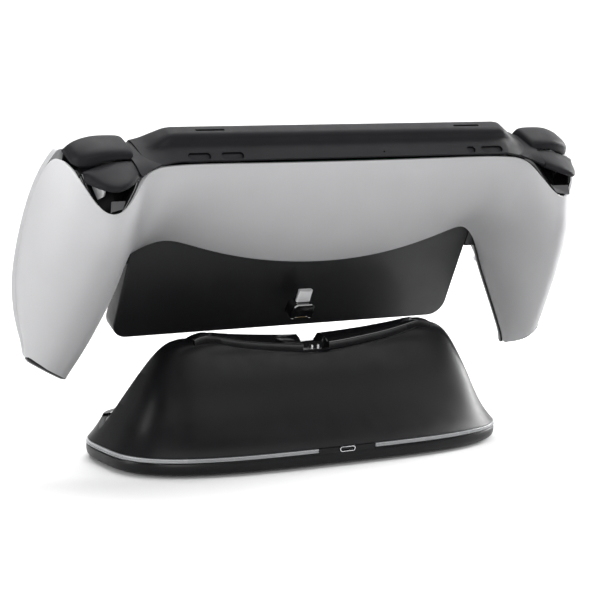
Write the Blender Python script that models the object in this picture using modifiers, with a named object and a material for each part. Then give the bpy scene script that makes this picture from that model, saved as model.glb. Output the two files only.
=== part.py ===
"""Handheld game console with side grips, its charging dock and the USB-C adapter between them.

World frame: metres, +Z up, +X along the screen's width, +Y towards the player.  The origin is
the centre of the dock's anti-slip pad, on the table.  The console is held above the dock and
leans back; its own frame (x, depth, height) has depth 0 on the screen glass and grows towards
the back, and height runs up along the screen.
"""
import math

import bmesh
import bpy
from mathutils import Matrix, Vector

MM = 0.001
GAP = 0.3                       # clearance between neighbouring pieces, mm

# console placement (mm, degrees)
LEAN = 25.8                     # the screen leans back from the vertical
CONSOLE_Y = 7.1
CONSOLE_Z = 119.4               # with the console lifted off the dock
DOCKED_DROP = 45.0              # how far it comes down to sit in the dock

# tablet part
TABLET_HALF_WIDTH = 100.8
TABLET_BOTTOM = -59.6
TABLET_TOP = 53.8
TABLET_DEPTH = 10.0
TABLET_CORNER = 9.0
SHELL_THICKNESS = 2.0

# dock: height, half width, back y, front y, squareness of the plan outline
DOCK_LEVELS = (
    (10.3, 111.8, -41.6, 58.6, 3.3),
    (14.5, 108.4, -37.8, 55.4, 3.4),
    (20.5, 104.2, -33.6, 52.4, 3.6),
    (28.0, 100.2, -28.8, 49.0, 4.0),
    (37.0, 96.0, -23.6, 46.0, 4.6),
    (46.0, 91.6, -18.6, 44.0, 5.2),
    (54.0, 87.2, -14.9, 42.0, 5.6),
    (59.0, 83.2, -13.3, 41.0, 5.6),
    (61.8, 79.2, -12.2, 40.0, 5.2),
    (63.2, 74.0, -9.8, 38.0, 4.6),
)
DOCK_CENTRE_Y = 9.0
DOCK_WALL = 2.4
TRAY_LEVELS = (
    (1.2, 109.6, -38.6, 56.0, 3.2),
    (2.4, 111.9, -41.0, 58.2, 3.2),
    (4.6, 112.8, -42.0, 59.2, 3.2),
    (7.6, 112.8, -42.0, 59.2, 3.2),
)
LIGHT_BOTTOM = 7.9
LIGHT_TOP = 10.0
LIGHT_START_X = 17.0            # where each light strip begins beside the socket
PAD_INSET = 9.0
OUTLINE_STEPS = 44

# the saddle that carries the belly: x, rim height, ridge height, crest y, crest height
SADDLE = (
    (0.0, 53.4, 57.4, -1.6, 61.6),
    (14.0, 54.4, 58.2, -1.6, 62.0),
    (30.0, 56.2, 59.9, -2.0, 63.1),
    (44.0, 58.2, 61.8, -3.0, 64.4),
    (54.0, 60.2, 63.8, -4.4, 65.7),
    (62.0, 62.2, 65.4, -6.6, 66.9),
    (67.0, 63.2, 65.2, -7.4, 66.0),
    (71.0, 63.7, 63.9, -7.6, 64.1),
)
RIDGE_Y = -9.7
LIP_TOP = 21.5
SLOT_CLEARANCE = 0.5

# USB-C adapter and contact pins
PORT_DEPTH = 20.0
ADAPTER_HEIGHT = 8.9
PLUG_LENGTH = 6.7
PLUG_WIDTH = 8.3
PLUG_THICKNESS = 2.5
ADAPTER_TRAVEL = 37.0           # along the plug's axis, from hanging free to plugged in
PIN_X = 1.8
PIN_Y = -8.2
PIN_TIP = 56.6

LEAN_RAD = math.radians(LEAN)


# ---------------------------------------------------------------- scene and materials
def clear_scene():
    for item in list(bpy.data.objects):
        bpy.data.objects.remove(item, do_unlink=True)


def make_collection(name):
    collection = bpy.data.collections.new(name)
    bpy.context.scene.collection.children.link(collection)
    return collection


def make_material(name, colour, roughness, metallic=0.0):
    material = bpy.data.materials.new(name)
    material.use_nodes = True
    shader = material.node_tree.nodes["Principled BSDF"]
    shader.inputs["Base Color"].default_value = (*colour, 1.0)
    shader.inputs["Roughness"].default_value = roughness
    shader.inputs["Metallic"].default_value = metallic
    return material


clear_scene()
PARTS = make_collection("handheld_console_and_dock")
CUTTERS = make_collection("cutters")

WHITE = make_material("white_plastic", (0.80, 0.80, 0.81), 0.5)
BLACK = make_material("matte_black_plastic", (0.012, 0.012, 0.014), 0.45)
GLOSS = make_material("gloss_black_plastic", (0.006, 0.006, 0.007), 0.12)
DOCK_BLACK = make_material("dock_matte_plastic", (0.016, 0.016, 0.018), 0.4)
LIGHT = make_material("light_guide", (0.7, 0.72, 0.75), 0.3)
RUBBER = make_material("rubber", (0.02, 0.02, 0.02), 0.85)
GLASS = make_material("glass", (0.004, 0.004, 0.006), 0.05)
STEEL = make_material("steel", (0.62, 0.62, 0.64), 0.3, 1.0)
BRASS = make_material("gold_plated", (0.85, 0.62, 0.28), 0.25, 1.0)
BOARD = make_material("circuit_board", (0.01, 0.09, 0.04), 0.5)
BATTERY = make_material("battery_wrap", (0.10, 0.10, 0.11), 0.55)


# ---------------------------------------------------------------- small builders
def console_point(x, depth, height):
    """A point of the console's own frame, in the axes of its empty."""
    return Vector((x, -depth, height)) * MM


def add_object(name, mesh, material, parent=None, location=(0, 0, 0), collection=None):
    item = bpy.data.objects.new(name, mesh)
    (collection or PARTS).objects.link(item)
    if material:
        mesh.materials.append(material)
    item.location = location
    if parent:
        item.parent = parent
    if collection is CUTTERS:
        item.hide_render = True
        item.display_type = "WIRE"
    return item


def mesh_from_bmesh(name, shape, fix_normals=True):
    if fix_normals:
        bmesh.ops.recalc_face_normals(shape, faces=shape.faces)
    mesh = bpy.data.meshes.new(name)
    shape.to_mesh(mesh)
    shape.free()
    return mesh


def round_edges(item, width, segments=2, angle=40):
    bevel = item.modifiers.new("round", "BEVEL")
    bevel.width = width * MM
    bevel.segments = segments
    bevel.limit_method = "ANGLE"
    bevel.angle_limit = math.radians(angle)


def box(name, size, centre, material, parent=None, bevel=0.0, collection=None):
    """A box of size (mm) about centre (mm), in the axes of its parent."""
    shape = bmesh.new()
    bmesh.ops.create_cube(shape, size=1.0)
    bmesh.ops.scale(shape, vec=Vector(size) * MM, verts=shape.verts)
    item = add_object(name, mesh_from_bmesh(name, shape), material, parent, Vector(centre) * MM, collection)
    if bevel:
        round_edges(item, bevel)
    return item


def cylinder(name, radius, length, centre, axis, material, parent=None, sides=24, collection=None):
    """A cylinder along axis ("X", "Y" or "Z") about centre, in mm."""
    shape = bmesh.new()
    bmesh.ops.create_cone(shape, cap_ends=True, segments=sides, radius1=radius * MM, radius2=radius * MM,
                          depth=length * MM)
    turn = {"X": Matrix.Rotation(math.pi / 2, 4, "Y"), "Y": Matrix.Rotation(math.pi / 2, 4, "X"),
            "Z": Matrix.Identity(4)}[axis]
    bmesh.ops.transform(shape, matrix=turn, verts=shape.verts)
    return add_object(name, mesh_from_bmesh(name, shape), material, parent, Vector(centre) * MM, collection)


def loft(name, rings, material, parent=None, location=(0, 0, 0), collection=None):
    """A closed body through rings of equal length, with flat end caps."""
    shape = bmesh.new()
    rows = [[shape.verts.new(Vector(point) * MM) for point in ring] for ring in rings]
    count = len(rows[0])
    for lower, upper in zip(rows, rows[1:]):
        for k in range(count):
            shape.faces.new((lower[k], lower[(k + 1) % count], upper[(k + 1) % count], upper[k]))
    shape.faces.new(rows[0][::-1])
    shape.faces.new(rows[-1])
    return add_object(name, mesh_from_bmesh(name, shape), material, parent, location, collection)


def prism(name, outline, start, end, axis, material, parent=None, location=(0, 0, 0), collection=None):
    """Extrudes a flat outline along axis; the outline's pairs are the other two axes in order."""
    def place(pair, along):
        first, second = pair
        return {"X": (along, first, second), "Y": (first, along, second), "Z": (first, second, along)}[axis]
    rings = [[place(pair, along) for pair in outline] for along in (start, end)]
    return loft(name, rings, material, parent, location, collection)


def grid_mesh(name, rows):
    """An open surface through a grid of points (mm)."""
    shape = bmesh.new()
    lattice = [[shape.verts.new(Vector(point) * MM) for point in row] for row in rows]
    for lower, upper in zip(lattice, lattice[1:]):
        for k in range(len(lower) - 1):
            shape.faces.new((lower[k], lower[k + 1], upper[k + 1], upper[k]))
    return shape


def solidify(item, thickness, offset=-1.0):
    shell = item.modifiers.new("thickness", "SOLIDIFY")
    shell.thickness = thickness * MM
    shell.offset = offset
    return shell


def smooth_cage(item, levels):
    subdivision = item.modifiers.new("smooth", "SUBSURF")
    subdivision.levels = levels
    subdivision.render_levels = levels


def mirror_x(item):
    mirror = item.modifiers.new("mirror", "MIRROR")
    mirror.use_clip = True
    mirror.merge_threshold = 0.00001


def cut(item, cutter, operation="DIFFERENCE"):
    boolean = item.modifiers.new(cutter.name, "BOOLEAN")
    boolean.operation = operation
    boolean.solver = "EXACT"
    boolean.object = cutter


def empty(name, parent=None, location=(0, 0, 0), lean=0.0):
    frame = bpy.data.objects.new(name, None)
    PARTS.objects.link(frame)
    frame.location = location
    frame.rotation_euler = (lean, 0, 0)
    frame.parent = parent
    return frame


def interpolate(table, x):
    """Reads a table of rows that start with x, with straight lines between rows."""
    x = min(max(abs(x), table[0][0]), table[-1][0])
    for low, high in zip(table, table[1:]):
        if x <= high[0]:
            share = (x - low[0]) / (high[0] - low[0])
            return [a + (b - a) * share for a, b in zip(low, high)]
    return list(table[-1])


def arc(centre, radius, start, end, steps):
    """Points of a circular arc in a plane, angles in degrees."""
    angles = [math.radians(start + (end - start) * k / steps) for k in range(steps + 1)]
    return [(centre[0] + radius * math.cos(a), centre[1] + radius * math.sin(a)) for a in angles]


def rounded_rectangle(x0, x1, y0, y1, radius, steps=4):
    corners = (((x1 - radius, y0 + radius), -90), ((x1 - radius, y1 - radius), 0),
               ((x0 + radius, y1 - radius), 90), ((x0 + radius, y0 + radius), 180))
    return [point for centre, start in corners for point in arc(centre, radius, start, start + 90, steps)]


# ---------------------------------------------------------------- dock
def plan_outline(level, inset=0.0, steps=OUTLINE_STEPS):
    """The dock's plan at one level: a squared-off oval about DOCK_CENTRE_Y."""
    height, half_width, back, front, squareness = level
    points = []
    for k in range(steps):
        angle = 2 * math.pi * k / steps
        c, s = math.cos(angle), math.sin(angle)
        reach = (front - DOCK_CENTRE_Y if s > 0 else DOCK_CENTRE_Y - back) - inset
        x = (half_width - inset) * math.copysign(abs(c) ** (2 / squareness), c)
        y = DOCK_CENTRE_Y + reach * math.copysign(abs(s) ** (2 / squareness), s)
        points.append((x, y, height))
    return points


def dock_loft(name, levels, inset, material, collection=None, bottom=None, top=None):
    """A closed body through the plan outlines; it can start lower and stop at another height."""
    if top is not None:
        end = interpolate(levels, top) if top < levels[-1][0] else [top, *levels[-1][1:]]
        levels = [level for level in levels if level[0] < top] + [[top, *end[1:]]]
    if bottom is not None:
        levels = [(bottom, *levels[0][1:]), *levels]
    return loft(name, [plan_outline(level, inset) for level in levels], material, None, (0, 0, 0), collection)


def docked_world(depth, height):
    """World (y, z) in mm of a console point once the console sits in the dock."""
    y = CONSOLE_Y - depth * math.cos(LEAN_RAD) - height * math.sin(LEAN_RAD)
    z = CONSOLE_Z - DOCKED_DROP + height * math.cos(LEAN_RAD) - depth * math.sin(LEAN_RAD)
    return y, z


def tablet_space(name, grow):
    """The room that the docked tablet needs: its slot, and everything in front of it."""
    behind = TABLET_DEPTH + SLOT_CLEARANCE + grow
    floor = TABLET_BOTTOM - SLOT_CLEARANCE - grow
    front = -SLOT_CLEARANCE
    slot_y, slot_z = docked_world(front, floor)
    lip_y = slot_y - (LIP_TOP - grow - slot_z) * math.tan(LEAN_RAD)
    outline = [docked_world(behind, 30.0), docked_world(behind, floor), (slot_y, slot_z),
               (lip_y, LIP_TOP - grow), (90.0, LIP_TOP - grow), (90.0, docked_world(behind, 30.0)[1])]
    return prism(name, outline, -140.0, 140.0, "X", None, collection=CUTTERS)


def rim_space(name, drop=0.0):
    """What is cut away above the concave rim of the back wall."""
    right = [(x, rim - drop) for x, rim, *_ in SADDLE]
    outline = [(-x, z) for x, z in reversed(right[1:])] + right
    outline += [(SADDLE[-1][0], 90.0), (-SADDLE[-1][0], 90.0)]
    return prism(name, outline, -70.0, 30.0, "Y", None, collection=CUTTERS)


def make_dock_shell():
    shell = dock_loft("dock_shell", DOCK_LEVELS, 0.0, DOCK_BLACK)
    inside = dock_loft("shell_inside", DOCK_LEVELS, DOCK_WALL, None, CUTTERS, bottom=0.0, top=61.0)
    cut(shell, inside)
    cut(shell, rim_space("rim_space"))
    saddle_room = box("saddle_room", (2 * SADDLE[-1][0], 60.0, 50.0), (0, RIDGE_Y - GAP + 30.0, 60.0),
                      None, collection=CUTTERS)
    cut(shell, saddle_room)
    cut(shell, tablet_space("tablet_space", 0.0))
    return shell


def saddle_block():
    """The raised glossy saddle, lofted across the dock; its top follows the belly's lower edge."""
    rings = []
    stations = [(-x, *rest) for x, *rest in reversed(SADDLE[1:])] + list(SADDLE)
    for x, rim, ridge, crest_y, crest in stations:
        x = math.copysign(abs(x) - (GAP if abs(x) > 70 else 0), x)
        rings.append([(x, RIDGE_Y, 40.0), (x, RIDGE_Y, ridge - 0.6), (x, RIDGE_Y + 0.5, ridge),
                      (x, crest_y - 0.8, crest - 0.1), (x, crest_y + 0.6, crest - 0.6), (x, 6.0, crest - 1.6),
                      (x, crest_y + 30.0, crest - 60.0), (x, 0.0, 10.0)])
    return rings


def make_dock_cradle():
    """Glossy insert: front face for the tablet, slot floor, lip and the saddle, hollow below."""
    inset = DOCK_WALL + GAP
    cradle = dock_loft("dock_cradle", DOCK_LEVELS, inset, GLOSS, top=60.6)
    cut(cradle, rim_space("ridge_step", drop=0.6))
    saddle = loft("saddle", saddle_block(), None, collection=CUTTERS)
    cut(cradle, saddle, "UNION")
    cut(cradle, tablet_space("tablet_space_inner", 0.0))
    hollow = dock_loft("cradle_hollow", DOCK_LEVELS[:7], inset + 2.6, None, CUTTERS, bottom=0.0, top=50.5)
    cut(hollow, tablet_space("tablet_space_grown", 2.6))
    cut(cradle, hollow)
    return cradle


def cut_contact_notch(cradle):
    """The trapezoid notch in the crest and the small pocket where the contact pins stand."""
    floor = 57.2
    outline = [(-6.0, floor), (6.0, floor), (9.6, 66.0), (-9.6, 66.0)]
    cut(cradle, prism("contact_notch", outline, -30.0, 30.0, "Y", None, collection=CUTTERS))
    cut(cradle, box("contact_pocket", (15.6, 7.0, 14.0), (0, -7.9, 54.4 + 7.0), None, collection=CUTTERS))
    for side in (-1, 1):
        hole = cylinder(f"pin_hole_{side + 1}", 0.95, 30.0, (side * PIN_X, PIN_Y, 48.0), "Z", None, sides=16,
                        collection=CUTTERS)
        cut(cradle, hole)


def make_light_guide(name, side):
    """The light strip: a flat bar swept round the dock's plan from beside the socket to the front."""
    level = (0.0, 112.6, -41.8, 59.0, 3.25)
    outer = plan_outline(level, 0.0, 2 * OUTLINE_STEPS)
    inner = plan_outline(level, 2.0, 2 * OUTLINE_STEPS)
    pairs = [(a, b) for a, b in zip(outer, inner) if a[0] * side > LIGHT_START_X + 3.0 and
             not (a[1] > DOCK_CENTRE_Y and abs(a[0]) < 88.0)]
    pairs.sort(key=lambda pair: math.atan2(pair[0][1] - DOCK_CENTRE_Y, pair[0][0] * side))
    back = min(point[1] for point in outer)
    pairs.insert(0, ((side * LIGHT_START_X, back + 0.1, 0), (side * LIGHT_START_X, back + 2.1, 0)))
    rings = [[(a[0], a[1], LIGHT_BOTTOM), (b[0], b[1], LIGHT_BOTTOM), (b[0], b[1], LIGHT_TOP),
              (a[0], a[1], LIGHT_TOP)] for a, b in pairs]
    return loft(name, rings, LIGHT)


def make_base_tray():
    tray = dock_loft("dock_base_tray", TRAY_LEVELS, 0.0, DOCK_BLACK)
    cut(tray, dock_loft("tray_inside", TRAY_LEVELS[2:], DOCK_WALL, None, CUTTERS, bottom=3.6, top=20.0))
    tongue = box("tray_tongue", (2 * LIGHT_START_X - 0.8, 2.4, 5.2), (0, -40.6, 7.4), None, collection=CUTTERS)
    cut(tray, tongue, "UNION")
    slot = rounded_rectangle(-4.9, 4.9, 7.05, 10.6, 1.6)
    cut(tray, prism("socket_slot", slot, -60.0, -30.0, "Y", None, collection=CUTTERS))
    return tray


def make_dock():
    pad_level = (0.0, *TRAY_LEVELS[0][1:])
    pad = [plan_outline(pad_level, PAD_INSET), plan_outline((0.9, *pad_level[1:]), PAD_INSET)]
    loft("dock_foot_pad", pad, RUBBER)
    make_base_tray()
    make_dock_shell()
    cut_contact_notch(make_dock_cradle())
    make_light_guide("dock_light_guide_left", -1)
    make_light_guide("dock_light_guide_right", 1)
    box("dock_circuit_board", (56.0, 17.0, 1.2), (0, -29.2, 6.3), BOARD)
    box("dock_contact_block", (16.0, 6.4, 5.0), (0, PIN_Y, 39.6), BLACK, bevel=0.3)
    make_socket("dock_usb_c_socket", (0, -38.1, 8.68), None, 7.2)
    for name, side in (("pogo_pin_left", -1), ("pogo_pin_right", 1)):
        make_pogo_pin(name, side)


def make_socket(name, centre, parent, length):
    """A USB-C receptacle shell: an oval tube closed at its inner end, opening towards -Y."""
    outer = rounded_rectangle(-4.5, 4.5, -1.35, 1.35, 1.3)
    inner = rounded_rectangle(-4.2, 4.2, -1.05, 1.05, 1.0)
    socket = prism(name, outer, -length / 2, length / 2, "Y", STEEL, parent, Vector(centre) * MM)
    cavity = prism(name + "_cavity", inner, -length / 2 - 1.0, length / 2 - 0.8, "Y", None, parent,
                   Vector(centre) * MM, CUTTERS)
    cut(socket, cavity)
    return socket


def make_pogo_pin(name, side):
    """A spring contact: slim plunger with a domed tip, standing on the contact block."""
    bottom = 42.1 + GAP + 0.9
    profile = [(0.0, PIN_TIP), (0.35, PIN_TIP - 0.08), (0.6, PIN_TIP - 0.4), (0.6, bottom), (0.0, bottom)]
    mesh = bpy.data.meshes.new(name)
    height = PIN_TIP - bottom
    mesh.from_pydata([Vector((r, 0, z - bottom - height / 2)) * MM for r, z in profile],
                     [(k, k + 1) for k in range(len(profile) - 1)], [])
    pin = add_object(name, mesh, STEEL, None, Vector((side * PIN_X, PIN_Y, bottom + height / 2)) * MM)
    screw = pin.modifiers.new("turn", "SCREW")
    screw.steps = 12
    screw.render_steps = 12
    screw.axis = "Z"
    screw.use_merge_vertices = True
    screw.merge_threshold = 0.00001
    screw.use_normal_calculate = False
    return pin


# ---------------------------------------------------------------- adapter
def make_adapter(frame):
    """The USB-C adapter: black housing with two feet, metal plug on top, contact plate below."""
    half = 3.6
    wide = 7.0
    outline = [(-wide, -ADAPTER_HEIGHT + 1.2), (-wide + 1.4, -ADAPTER_HEIGHT), (-4.4, -ADAPTER_HEIGHT),
               (-3.6, -ADAPTER_HEIGHT + 0.9), (3.6, -ADAPTER_HEIGHT + 0.9), (4.4, -ADAPTER_HEIGHT),
               (wide - 1.4, -ADAPTER_HEIGHT), (wide, -ADAPTER_HEIGHT + 1.2), (wide - 0.6, -1.6),
               (wide - 2.6, -0.25), (-wide + 2.6, -0.25), (-wide + 0.6, -1.6)]
    housing = prism("adapter_housing", outline, -half, half, "Y", GLOSS, frame)
    round_edges(housing, 0.5, segments=1)
    plug_outline = rounded_rectangle(-PLUG_WIDTH / 2, PLUG_WIDTH / 2, -PLUG_THICKNESS / 2,
                                     PLUG_THICKNESS / 2, 1.2)
    plug = prism("adapter_plug", plug_outline, 0.05, PLUG_LENGTH, "Z", STEEL, frame)
    mouth = rounded_rectangle(-3.7, 3.7, -0.85, 0.85, 0.8)
    cut(plug, prism("plug_mouth", mouth, 1.2, 12.0, "Z", None, frame, (0, 0, 0), CUTTERS))
    cut(plug, box("plug_tongue_gap", (6.4, 0.6, 4.6), (0, 0, 3.0), None, frame, collection=CUTTERS), "UNION")
    plate_height = -ADAPTER_HEIGHT + 0.9 - GAP
    box("adapter_contact_plate", (6.4, 5.4, 0.5), (0, 0, plate_height - 0.26), BRASS, frame)


# ---------------------------------------------------------------- console shells
# belly columns: x, top edge (depth, height), crest depth, lower edge (depth, height)
BELLY = (
    (0.0, 25.6, 49.6, 31.0, 26.0, -8.8),
    (16.0, 25.6, 49.6, 31.0, 25.9, -8.3),
    (32.0, 25.5, 49.6, 30.6, 24.9, -7.2),
    (48.0, 25.2, 49.6, 29.8, 23.2, -5.3),
    (64.0, 25.0, 49.6, 28.8, 21.3, -2.1),
    (78.0, 24.8, 49.6, 28.0, 19.6, 1.8),
    (89.0, 24.7, 49.5, 27.6, 17.2, 3.8),
    (99.0, 24.6, 49.0, 27.4, 12.8, -4.0),
    (107.0, 24.9, 48.2, 27.2, 11.0, -12.4),
)
# grip rows, from the trigger well down to the tip; each has 7 points (x, depth, height)
GRIP = (
    ((107.0, 24.9, 48.2), (113.2, 27.6, 45.4), (119.6, 34.6, 38.8), (129.0, 40.8, 31.2),
     (138.6, 35.6, 33.0), (144.6, 22.0, 43.6), (147.4, 0.0, 44.0)),
    ((107.0, 26.4, 40.0), (113.2, 30.6, 37.0), (120.4, 38.8, 31.0), (130.0, 44.2, 24.4),
     (141.4, 36.8, 25.0), (149.8, 20.0, 33.0), (151.8, -1.0, 33.0)),
    ((107.0, 27.2, 27.0), (113.4, 32.4, 25.0), (121.4, 41.4, 21.0), (131.2, 46.0, 16.0),
     (143.4, 38.2, 16.0), (153.0, 20.0, 20.0), (154.2, -1.0, 20.0)),
    ((107.0, 25.6, 12.5), (113.4, 31.8, 11.5), (121.6, 41.4, 9.0), (132.0, 46.4, 6.0),
     (145.0, 38.6, 5.0), (155.2, 20.0, 7.0), (155.2, -1.0, 7.0)),
    ((107.0, 20.0, -1.5), (113.0, 28.8, -1.5), (121.6, 40.2, -3.0), (132.8, 46.0, -5.0),
     (146.0, 38.8, -6.0), (156.2, 20.0, -5.0), (155.4, -1.0, -5.0)),
    ((107.0, 11.0, -12.4), (111.8, 24.6, -14.0), (121.0, 38.4, -15.0), (133.6, 45.2, -16.0),
     (147.2, 38.6, -17.0), (156.8, 20.4, -16.0), (155.2, -0.6, -16.0)),
    ((111.8, 13.6, -23.4), (115.4, 26.2, -24.0), (123.0, 38.0, -25.0), (134.8, 44.2, -26.0),
     (147.8, 38.2, -27.0), (157.0, 21.0, -26.0), (154.8, 0.6, -26.0)),
    ((117.2, 18.4, -34.6), (119.6, 28.6, -35.0), (126.0, 37.8, -35.5), (136.2, 43.0, -36.0),
     (148.4, 37.6, -37.0), (156.8, 22.4, -36.0), (153.8, 3.4, -36.0)),
    ((122.8, 23.2, -45.8), (124.4, 31.0, -46.0), (129.6, 37.6, -46.0), (138.0, 41.6, -46.0),
     (148.8, 37.0, -46.0), (156.2, 24.2, -45.0), (152.4, 7.4, -45.0)),
    ((128.4, 27.4, -57.0), (129.8, 32.4, -57.0), (133.6, 37.0, -57.0), (140.2, 39.8, -56.0),
     (149.0, 36.0, -54.0), (155.0, 26.0, -51.0), (151.2, 11.8, -51.0)),
    ((131.8, 29.8, -63.8), (132.8, 32.8, -63.8), (136.0, 36.0, -63.6), (141.6, 37.8, -62.4),
     (149.2, 34.6, -59.6), (154.0, 27.4, -55.4), (150.4, 15.4, -55.0)),
)
BELLY_SHARES = (0.0, 0.16, 0.40, 0.66, 0.88, 1.0)      # from the top edge to the lower edge


def belly_column(row):
    """Six points of one belly section; depth bulges between the two edges."""
    x, top_depth, top_height, crest, low_depth, low_height = row
    points = []
    for share in BELLY_SHARES:
        edge = top_depth + (low_depth - top_depth) * share
        bulge = (crest - (top_depth + low_depth) / 2) * math.sin(math.pi * share) ** 0.8 if 0 < share < 1 else 0
        height = top_height + (low_height - top_height) * share
        points.append((x, edge + bulge, height))
    return points


def rear_cover_cage():
    """Half of the back cover: belly columns from the centre, then the grip's rows."""
    shape = bmesh.new()
    columns = [[shape.verts.new(Vector((x, -d, h)) * MM) for x, d, h in belly_column(row)] for row in BELLY[:-1]]
    grip = [[shape.verts.new(Vector((x, -d, h)) * MM) for x, d, h in row] for row in GRIP]
    columns.append([row[0] for row in grip[:6]])
    for left, right in zip(columns, columns[1:]):
        for k in range(5):
            shape.faces.new((left[k], left[k + 1], right[k + 1], right[k]))
    for upper, lower in zip(grip, grip[1:]):
        for k in range(6):
            shape.faces.new((upper[k], lower[k], lower[k + 1], upper[k + 1]))
    return shape


def make_rear_cover(frame):
    shape = rear_cover_cage()
    cover = add_object("rear_cover", mesh_from_bmesh("rear_cover", shape, False), WHITE, frame)
    mirror_x(cover)
    smooth_cage(cover, 1)
    solidify(cover, SHELL_THICKNESS)
    return cover


def front_rows():
    """Grip front, from the trigger end to the tip: outer edge, rounded front, inner edge."""
    rows = []
    for number, row in enumerate(GRIP):
        outer_x, outer_depth, height = row[-1]
        inner_x, inner_depth, inner_height = row[0]
        if number < 5:
            inner_x, inner_depth, inner_height = 103.6, 1.6, height
        elif number == 5:
            inner_x, inner_depth = 105.4, 5.0
        front = -3.4 if number < 8 else -3.4 + 6.0 * (number - 7)
        middle = (inner_x + outer_x) / 2
        rows.append([
            (outer_x, outer_depth - 1.6, height),
            (outer_x - 1.6, (outer_depth + front) / 2 - 0.6, height),
            (outer_x - 9.0, front + 0.6, height),
            (middle, front - 0.4, (height + inner_height) / 2),
            (inner_x + 7.0, min(front + 1.0, inner_depth - 1.5), inner_height),
            (inner_x + 0.6, inner_depth - 1.6, inner_height),
        ])
    return rows


def make_front_cover(name, side, frame):
    rows = [[(side * x, -d, h) for x, d, h in row] for row in front_rows()]
    shape = grid_mesh(name, rows)
    cover = add_object(name, mesh_from_bmesh(name, shape, False), WHITE, frame)
    smooth_cage(cover, 1)
    solidify(cover, SHELL_THICKNESS, offset=-1.0 if side > 0 else 1.0)
    return cover


TIP_DIRECTION = Vector((0.329, 0.193, -0.924))      # out of the open end of the right grip
CAP_LEVELS = ((0.6, 1.0), (1.3, 0.97), (2.0, 0.62))  # distance beyond the grip's end, share of its outline


def tip_outline():
    """The open end of the right grip: the back cover's last row, closed along the front, corners cut."""
    points = [Vector((x, -d, h)) for x, d, h in GRIP[-1]]
    points += [Vector((148.6, -15.0, -55.0)), Vector((141.0, -14.2, -59.4)), Vector((138.8, -15.6, -63.8))]
    rounded = []
    for here, after in zip(points, points[1:] + points[:1]):
        rounded += [here.lerp(after, 0.25), here.lerp(after, 0.75)]
    return rounded


def make_grip_cap(name, side, frame):
    """Black end cap that closes the lower end of a grip."""
    outline = tip_outline()
    centre = sum(outline, Vector()) / len(outline)
    rings = []
    for distance, share in CAP_LEVELS:
        points = [centre.lerp(point, share) + TIP_DIRECTION * distance for point in outline]
        rings.append([(side * point.x, point.y, point.z) for point in points])
    return loft(name, rings, BLACK, frame)


FRAME_PROFILE = ((1.2, 54.4), (7.2, 59.1), (8.6, 59.7), (13.8, 59.6), (14.9, 58.8), (15.5, 55.6),
                 (17.2, 54.2), (19.6, 53.5), (24.6, 51.0))
FRAME_END = ((1.2, 47.6), (2.2, 49.6), (4.0, 50.2), (8.0, 50.4), (12.0, 50.3), (15.5, 50.1),
             (18.0, 49.8), (21.0, 49.4), (25.6, 48.4))
FRAME_STATIONS = ((0.0, 0.0), (48.0, 0.0), (94.0, 0.0), (97.0, 0.06), (102.0, 0.42), (107.0, 0.8), (111.6, 1.0))


def make_top_frame(frame):
    """The black bar along the top edge: vent plateau, groove and the sloping band with the keys."""
    rows = []
    for x, share in FRAME_STATIONS:
        rows.append([(x, -(a[0] + (b[0] - a[0]) * share), a[1] + (b[1] - a[1]) * share)
                     for a, b in zip(FRAME_PROFILE, FRAME_END)])
    bar = add_object("top_frame", mesh_from_bmesh("top_frame", grid_mesh("top_frame", rows), False), BLACK, frame)
    mirror_x(bar)
    solidify(bar, 1.2, offset=1.0)
    for side in (-1, 1):
        vent = box(f"vent_{side + 1}", (16.0, 1.6, 6.0), (side * 75.0, -11.6, 59.6), None, frame,
                   collection=CUTTERS)
        cut(bar, vent)
    return bar


KEYS = (("volume_up_button", -84.0, 11.6), ("volume_down_button", -66.0, 11.6),
        ("link_button", 74.0, 4.4), ("power_button", 87.0, 12.6))
KEY_DEPTH = 22.4


def key_frame(name, x, parent):
    """An empty on the sloping band, with Z pointing out of the band."""
    (d0, h0), (d1, h1) = FRAME_PROFILE[-2:]
    share = (KEY_DEPTH - d0) / (d1 - d0)
    height = h0 + (h1 - h0) * share
    tilt = math.atan2(h0 - h1, d1 - d0)
    return empty(name + "_seat", parent, console_point(x, KEY_DEPTH, height), tilt)


def make_keys(frame, bar):
    for name, x, length in KEYS:
        seat = key_frame(name, x, frame)
        outline = rounded_rectangle(-length / 2, length / 2, -1.6, 1.6, 1.55, 3)
        prism(name, outline, -2.6, 0.5, "Z", BLACK, seat)
        wide = rounded_rectangle(-length / 2 - GAP, length / 2 + GAP, -1.9, 1.9, 1.85, 3)
        cut(bar, prism(name + "_hole", wide, -6.0, 4.0, "Z", None, seat, (0, 0, 0), CUTTERS))


def make_tablet(frame):
    """The tablet: housing tray, glass and display, stacked from the back to the front."""
    outline = rounded_rectangle(-TABLET_HALF_WIDTH, TABLET_HALF_WIDTH, TABLET_BOTTOM, TABLET_TOP, TABLET_CORNER)
    housing = prism("display_housing", outline, -TABLET_DEPTH, 0.0, "Y", BLACK, frame)
    inner = rounded_rectangle(-TABLET_HALF_WIDTH + 1.6, TABLET_HALF_WIDTH - 1.6, TABLET_BOTTOM + 1.6,
                              TABLET_TOP - 1.6, TABLET_CORNER - 1.6)
    cut(housing, prism("housing_inside", inner, -TABLET_DEPTH + 1.4, 5.0, "Y", None, frame, (0, 0, 0), CUTTERS))
    pane = rounded_rectangle(-TABLET_HALF_WIDTH + 1.9, TABLET_HALF_WIDTH - 1.9, TABLET_BOTTOM + 1.9,
                             TABLET_TOP - 1.9, TABLET_CORNER - 1.9)
    prism("display_glass", pane, -1.0, -0.1, "Y", GLASS, frame)
    box("lcd_module", (182.0, 2.6, 105.0), (0, -2.7, -3.0), GLOSS, frame)


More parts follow.
